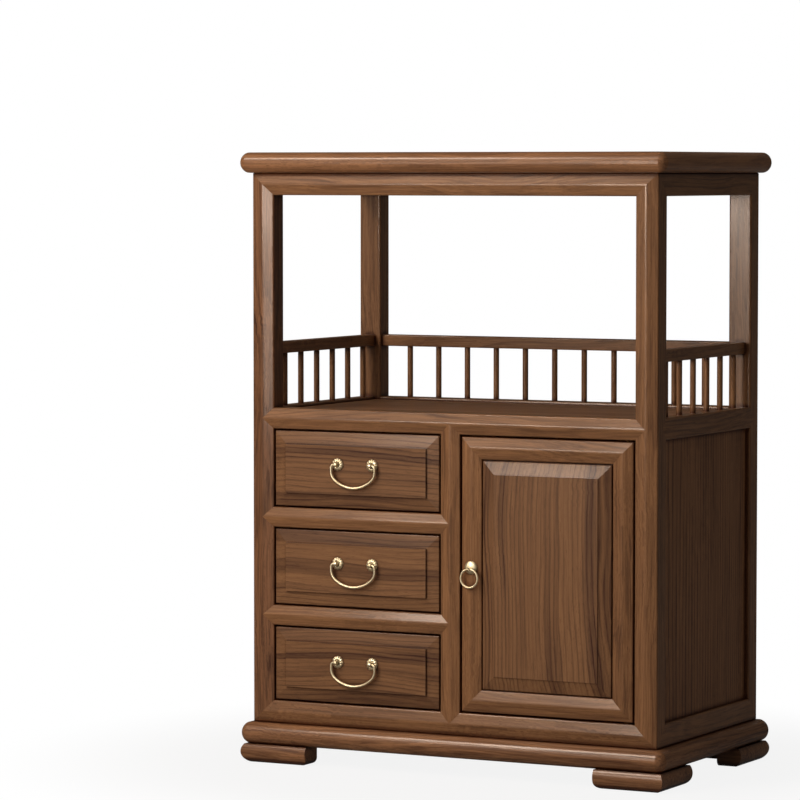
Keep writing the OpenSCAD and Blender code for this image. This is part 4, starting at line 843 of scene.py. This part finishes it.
for level in ("top", "middle", "bottom"):
    pair = rosette_shape(-1)
    other = rosette_shape(1)
    spare = bpy.data.meshes.new("spare")
    other.to_mesh(spare)
    other.free()
    pair.from_mesh(spare)
    bpy.data.meshes.remove(spare)
    swing = PIVOTS[f"bail_{level}_swing"]
    finish_piece(f"{level}_pull_rosettes", pair, swing, f"drawer_{level}", f"{level}_pull_posts")

# %% [markdown]
# The door's boss is a turned dome with a short nose just below its middle. The ring's pin goes
# through the nose, and a small punch mark in its tip reads as a dark eye. Both are turned, and
# the dome's stem runs back through the door to a nut.

# %% Boss
RING_REACH = 10.2
RING_LOW = 2.0
DOOR_T = 22.0
STEM_FROM = -3
NOSE_STEPS = 40
BOSS_PROFILE = [
    (11.5, 1.97), (11.5, 3.2), (11.2, 4.1), (10.2, 5.1), (8.4, 6.1), (6.0, 6.9), (3.0, 7.35),
    (0.0, 7.47),
]
NOSE_PROFILE = [
    (4.0, 6.2), (3.1, 7.2), (2.5, 8.2), (2.3, 9.4), (2.3, 11.6), (2.2, 12.3), (1.9, 12.6), (1.7, 12.5),
    (1.5, 11.6), (1.2, 10.9), (0.0, 10.7),
]

boss = bmesh.new()
turned(boss, BOSS_PROFILE)
turned(boss, NOSE_PROFILE, centre=(0, 0, -RING_LOW), steps=NOSE_STEPS)
screw_and_nut(boss, STEM_FROM, DOOR_T)
bmesh.ops.translate(boss, vec=(0, RING_REACH, RING_LOW), verts=boss.verts)
finish_piece("ring_boss_dome", boss, PIVOTS["ring_swing"], "door", "ring_boss")

# %% [markdown]
# The ring is a wire bent almost to a full circle, open at its top, where a thin pin joins the two
# ends through the nose. The ends are filed round, so the wire grows in two short steps at its
# start and shrinks again in two at its end.

# %% Ring
RING_R, RING_STEPS = 15.5, 72
RING_WIRE_R, RING_END_SHARE = 2.0, 0.6
RING_PIN_R, RING_PIN_SIDES = 1.4, 20
RING_GAP_HALF, PIN_PAST = 3.9, 1
ENDS_TURN = 6
ROUNDED_START = [((-0.3, 0, -0.05), 1.45), ((-0.5, 0, -0.1), 1.15)]
ROUNDED_END = [((-0.5, 0, 0.1), 0.87), ((-0.3, 0, 0.05), 0.69)]
gap_angle = math.degrees(math.asin(RING_GAP_HALF / RING_R))
start_z = RING_R * (math.cos(math.radians(gap_angle)) - 1)
pin_end = RING_GAP_HALF + PIN_PAST

ring = bmesh.new()
start = Vector((-RING_GAP_HALF, 0, start_z))
end = wire_start(ring, start, RING_WIRE_R * RING_END_SHARE, (1, 0, 0))
for step, growth in ROUNDED_START:
    end = wire_run(ring, end, step, growth)
end = wire_bend(ring, end, (0, 0, -RING_R), 2 * gap_angle + ENDS_TURN - 360, RING_STEPS)
for step, growth in ROUNDED_END:
    end = wire_run(ring, end, step, growth)
rod(ring, (-pin_end, 0, 0), (pin_end, 0, 0), RING_PIN_R, sides=RING_PIN_SIDES)
finish_piece("ring_wire", ring, PIVOTS["ring_swing"], "ring", "ring_pull")

# %% [markdown]
# The floor is a stage and not part of the cabinet. It is a plain pale sheet, large enough that no
# view shows its edge.

# %% Stage: floor
FLOOR_HALF = 30.0

floor_shape = bmesh.new()
bmesh.ops.create_grid(floor_shape, x_segments=1, y_segments=1, size=FLOOR_HALF)
floor_mesh = bpy.data.meshes.new("floor")
floor_shape.to_mesh(floor_mesh)
floor_shape.free()
floor = bpy.data.objects.new("floor", floor_mesh)
bpy.context.scene.collection.objects.link(floor)
print("floor half width in m:", FLOOR_HALF)

# %% [markdown]
# The sheet is matt, so that it mirrors nothing. In reflections it is darker than it looks,
# because a bright floor would lay a haze over the lacquer and take the depth out of the wood. A
# Light Path node tells the two apart.

# %% Floor finish
FLOOR_COLOUR = (0.40, 0.40, 0.40, 1.0)
FLOOR_MIRRORED = (0.10, 0.08, 0.065, 1.0)
FLOOR_ROUGHNESS, FLOOR_SHINE = 0.9, 0.1

floor_material = bpy.data.materials.new("floor")
floor_material.use_nodes = True
floor_mesh.materials.append(floor_material)
tree = floor_material.node_tree
shader = tree.nodes["Principled BSDF"]
shader.inputs["Roughness"].default_value = FLOOR_ROUGHNESS
shader.inputs["Specular IOR Level"].default_value = FLOOR_SHINE
light_path = add_node(tree, "ShaderNodeLightPath")
mirrored = light_path.outputs["Is Glossy Ray"]
floor_colour = mix_colours(tree, mirrored, FLOOR_COLOUR, FLOOR_MIRRORED)
connect(tree, floor_colour, shader.inputs["Base Color"])
print("floor finish:", floor_material.name)

# %% [markdown]
# Most of the floor's white is a glow that only the camera sees, so that it matches the backdrop
# without lighting the cabinet from below. Near the cabinet a little less of it glows, which
# leaves a faint shadow under the plinth.

# %% Floor glow
GLOW_FROM, GLOW_FULL = 0.45, 0.95
GLOW_NEAR, GLOW_MORE = 0.88, 0.12
GLOW_MIRRORED = 0.04

reach = add_node(tree, "ShaderNodeVectorMath", operation="LENGTH")
connect(tree, add_node(tree, "ShaderNodeTexCoord").outputs["Object"], reach.inputs[0])
far = ramp(tree, reach.outputs["Value"], GLOW_FROM, GLOW_FULL)
fade = maths(tree, "MULTIPLY_ADD", far, GLOW_MORE, GLOW_NEAR)
seen = maths(tree, "MULTIPLY_ADD", mirrored, GLOW_MIRRORED, light_path.outputs["Is Camera Ray"])
glow = add_node(tree, "ShaderNodeEmission")
blend = add_node(tree, "ShaderNodeMixShader")
connect(tree, 1.0, glow.inputs["Strength"])
connect(tree, maths(tree, "MULTIPLY", fade, seen), blend.inputs[0])
connect(tree, shader.outputs[0], blend.inputs[1])
connect(tree, glow.outputs[0], blend.inputs[2])
connect(tree, blend.outputs[0], tree.nodes["Material Output"].inputs["Surface"])
print("floor finish nodes:", len(tree.nodes))

# %% [markdown]
# The light is a furniture studio's. Two large soft lamps in front, one high and one low, light
# the wood evenly. Both stand to the left, so that the cabinet's right side stays darker. A third
# does the same work behind. Lacquer would show all three as pale patches, so they are left out of
# reflections.

# %% Stage: lamps
def soft_lamp(name, place, aim, size, power, tint=(1.0, 1.0, 1.0), mirrored=True):
    """A rectangular lamp that looks at a point. Sizes are in metres and power in watts."""
    data = bpy.data.lights.new(name, "AREA")
    data.shape = "RECTANGLE"
    data.size, data.size_y = size
    data.energy = power
    data.color = tint
    lamp = bpy.data.objects.new(name, data)
    lamp.location = place
    lamp.rotation_euler = (Vector(aim) - Vector(place)).to_track_quat("-Z", "Y").to_euler()
    lamp.visible_glossy = mirrored
    bpy.context.scene.collection.objects.link(lamp)
    print(name, power, "W at", place)
    return lamp


soft_lamp("key", (-1.4, -2.6, 2.5), (0.0, 0.0, 0.8), (2.4, 1.2), 17, mirrored=False)
soft_lamp("fill", (-0.85, -4.5, 1.3), (0.0, 0.0, 0.8), (2.5, 1.5), 17, mirrored=False)
soft_lamp("back lamp", (-0.6, 3.5, 1.8), (0.0, 0.1, 0.5), (2.4, 1.6), 42, mirrored=False)

# %% [markdown]
# Highlights are set apart from that light. Lacquer mirrors whatever is bright, so these warm
# lamps stand where the camera finds them mirrored: a lamp and a panel overhead for the facets that
# look up, and a narrow strip and a card close before the front for the ridges and raised fields.

# %% Stage: highlights in the lacquer
WARM = (1.0, 0.82, 0.68)
soft_lamp("upper lamp", (-1.45, -2.25, 2.80), (-0.05, -0.2, 0.9), (1.0, 0.65), 40, WARM)
soft_lamp("overhead panel", (0.2, -1.3, 3.2), (0.0, -0.2, 0.8), (2.4, 1.2), 8, WARM)
soft_lamp("front strip", (-0.36, -1.80, 0.95), (-0.1, -0.2, 0.9), (0.07, 0.9), 3.6, WARM)
soft_lamp("front card", (-0.68, -1.80, 1.0), (0.0, -0.2, 1.0), (0.60, 0.20), 9.0, WARM)

# %% [markdown]
# Polished brass shows little of its own and much of the room, so a dark studio turns it black.
# A large pale card mends that. Light linking keeps the card to the pulls, and the wood's light
# stays as it was set.

# %% Stage: card for the metal
CARD_TINT = (1.0, 0.98, 0.93)
pulls = bpy.data.collections.new("pulls")
for piece in brass_pieces:
    pulls.objects.link(piece)
card = soft_lamp("metal card", (-1.0, -3.4, 1.25), (-0.1, -0.2, 0.5), (4.4, 2.4), 24, CARD_TINT)
card.light_linking.receiver_collection = pulls

# %% [markdown]
# The room is white where the camera looks past the cabinet. To everything else it is a weak warm
# light from all round, as from walls and a ceiling. Mirrored, it is brightest toward the front,
# where the lamps stand, and dim elsewhere.

# %% Stage: room
ROOM_LIGHT = 0.16
ROOM_COLOUR = (1.0, 0.84, 0.70, 1.0)
WHITE = (1.0, 1.0, 1.0, 1.0)
FRONT_FROM, FRONT_FULL = 0.2, 0.8
MIRRORED_FRONT, MIRRORED_LESS = 0.25, -0.10

world = bpy.data.worlds.new("room")
bpy.context.scene.world = world
world.use_nodes = True
tree = world.node_tree
background = tree.nodes["Background"]
path = add_node(tree, "ShaderNodeLightPath")
direction = add_node(tree, "ShaderNodeSeparateXYZ")
connect(tree, add_node(tree, "ShaderNodeTexCoord").outputs["Generated"], direction.inputs[0])
toward_front = maths(tree, "MULTIPLY", direction.outputs[1], -1.0)
front = ramp(tree, toward_front, FRONT_FROM, FRONT_FULL)
mirror = maths(tree, "MULTIPLY_ADD", front, MIRRORED_FRONT, MIRRORED_LESS)
glossy = maths(tree, "MULTIPLY", path.outputs["Is Glossy Ray"], mirror)
seen = maths(tree, "MULTIPLY_ADD", path.outputs["Is Camera Ray"], 1.0 - ROOM_LIGHT, glossy)
connect(tree, maths(tree, "ADD", seen, ROOM_LIGHT), background.inputs["Strength"])
room_colour = mix_colours(tree, path.outputs["Is Camera Ray"], ROOM_COLOUR, WHITE)
connect(tree, room_colour, background.inputs["Color"])

bpy.context.scene.view_settings.view_transform = "Standard"
print("room light:", ROOM_LIGHT, "nodes:", len(tree.nodes))
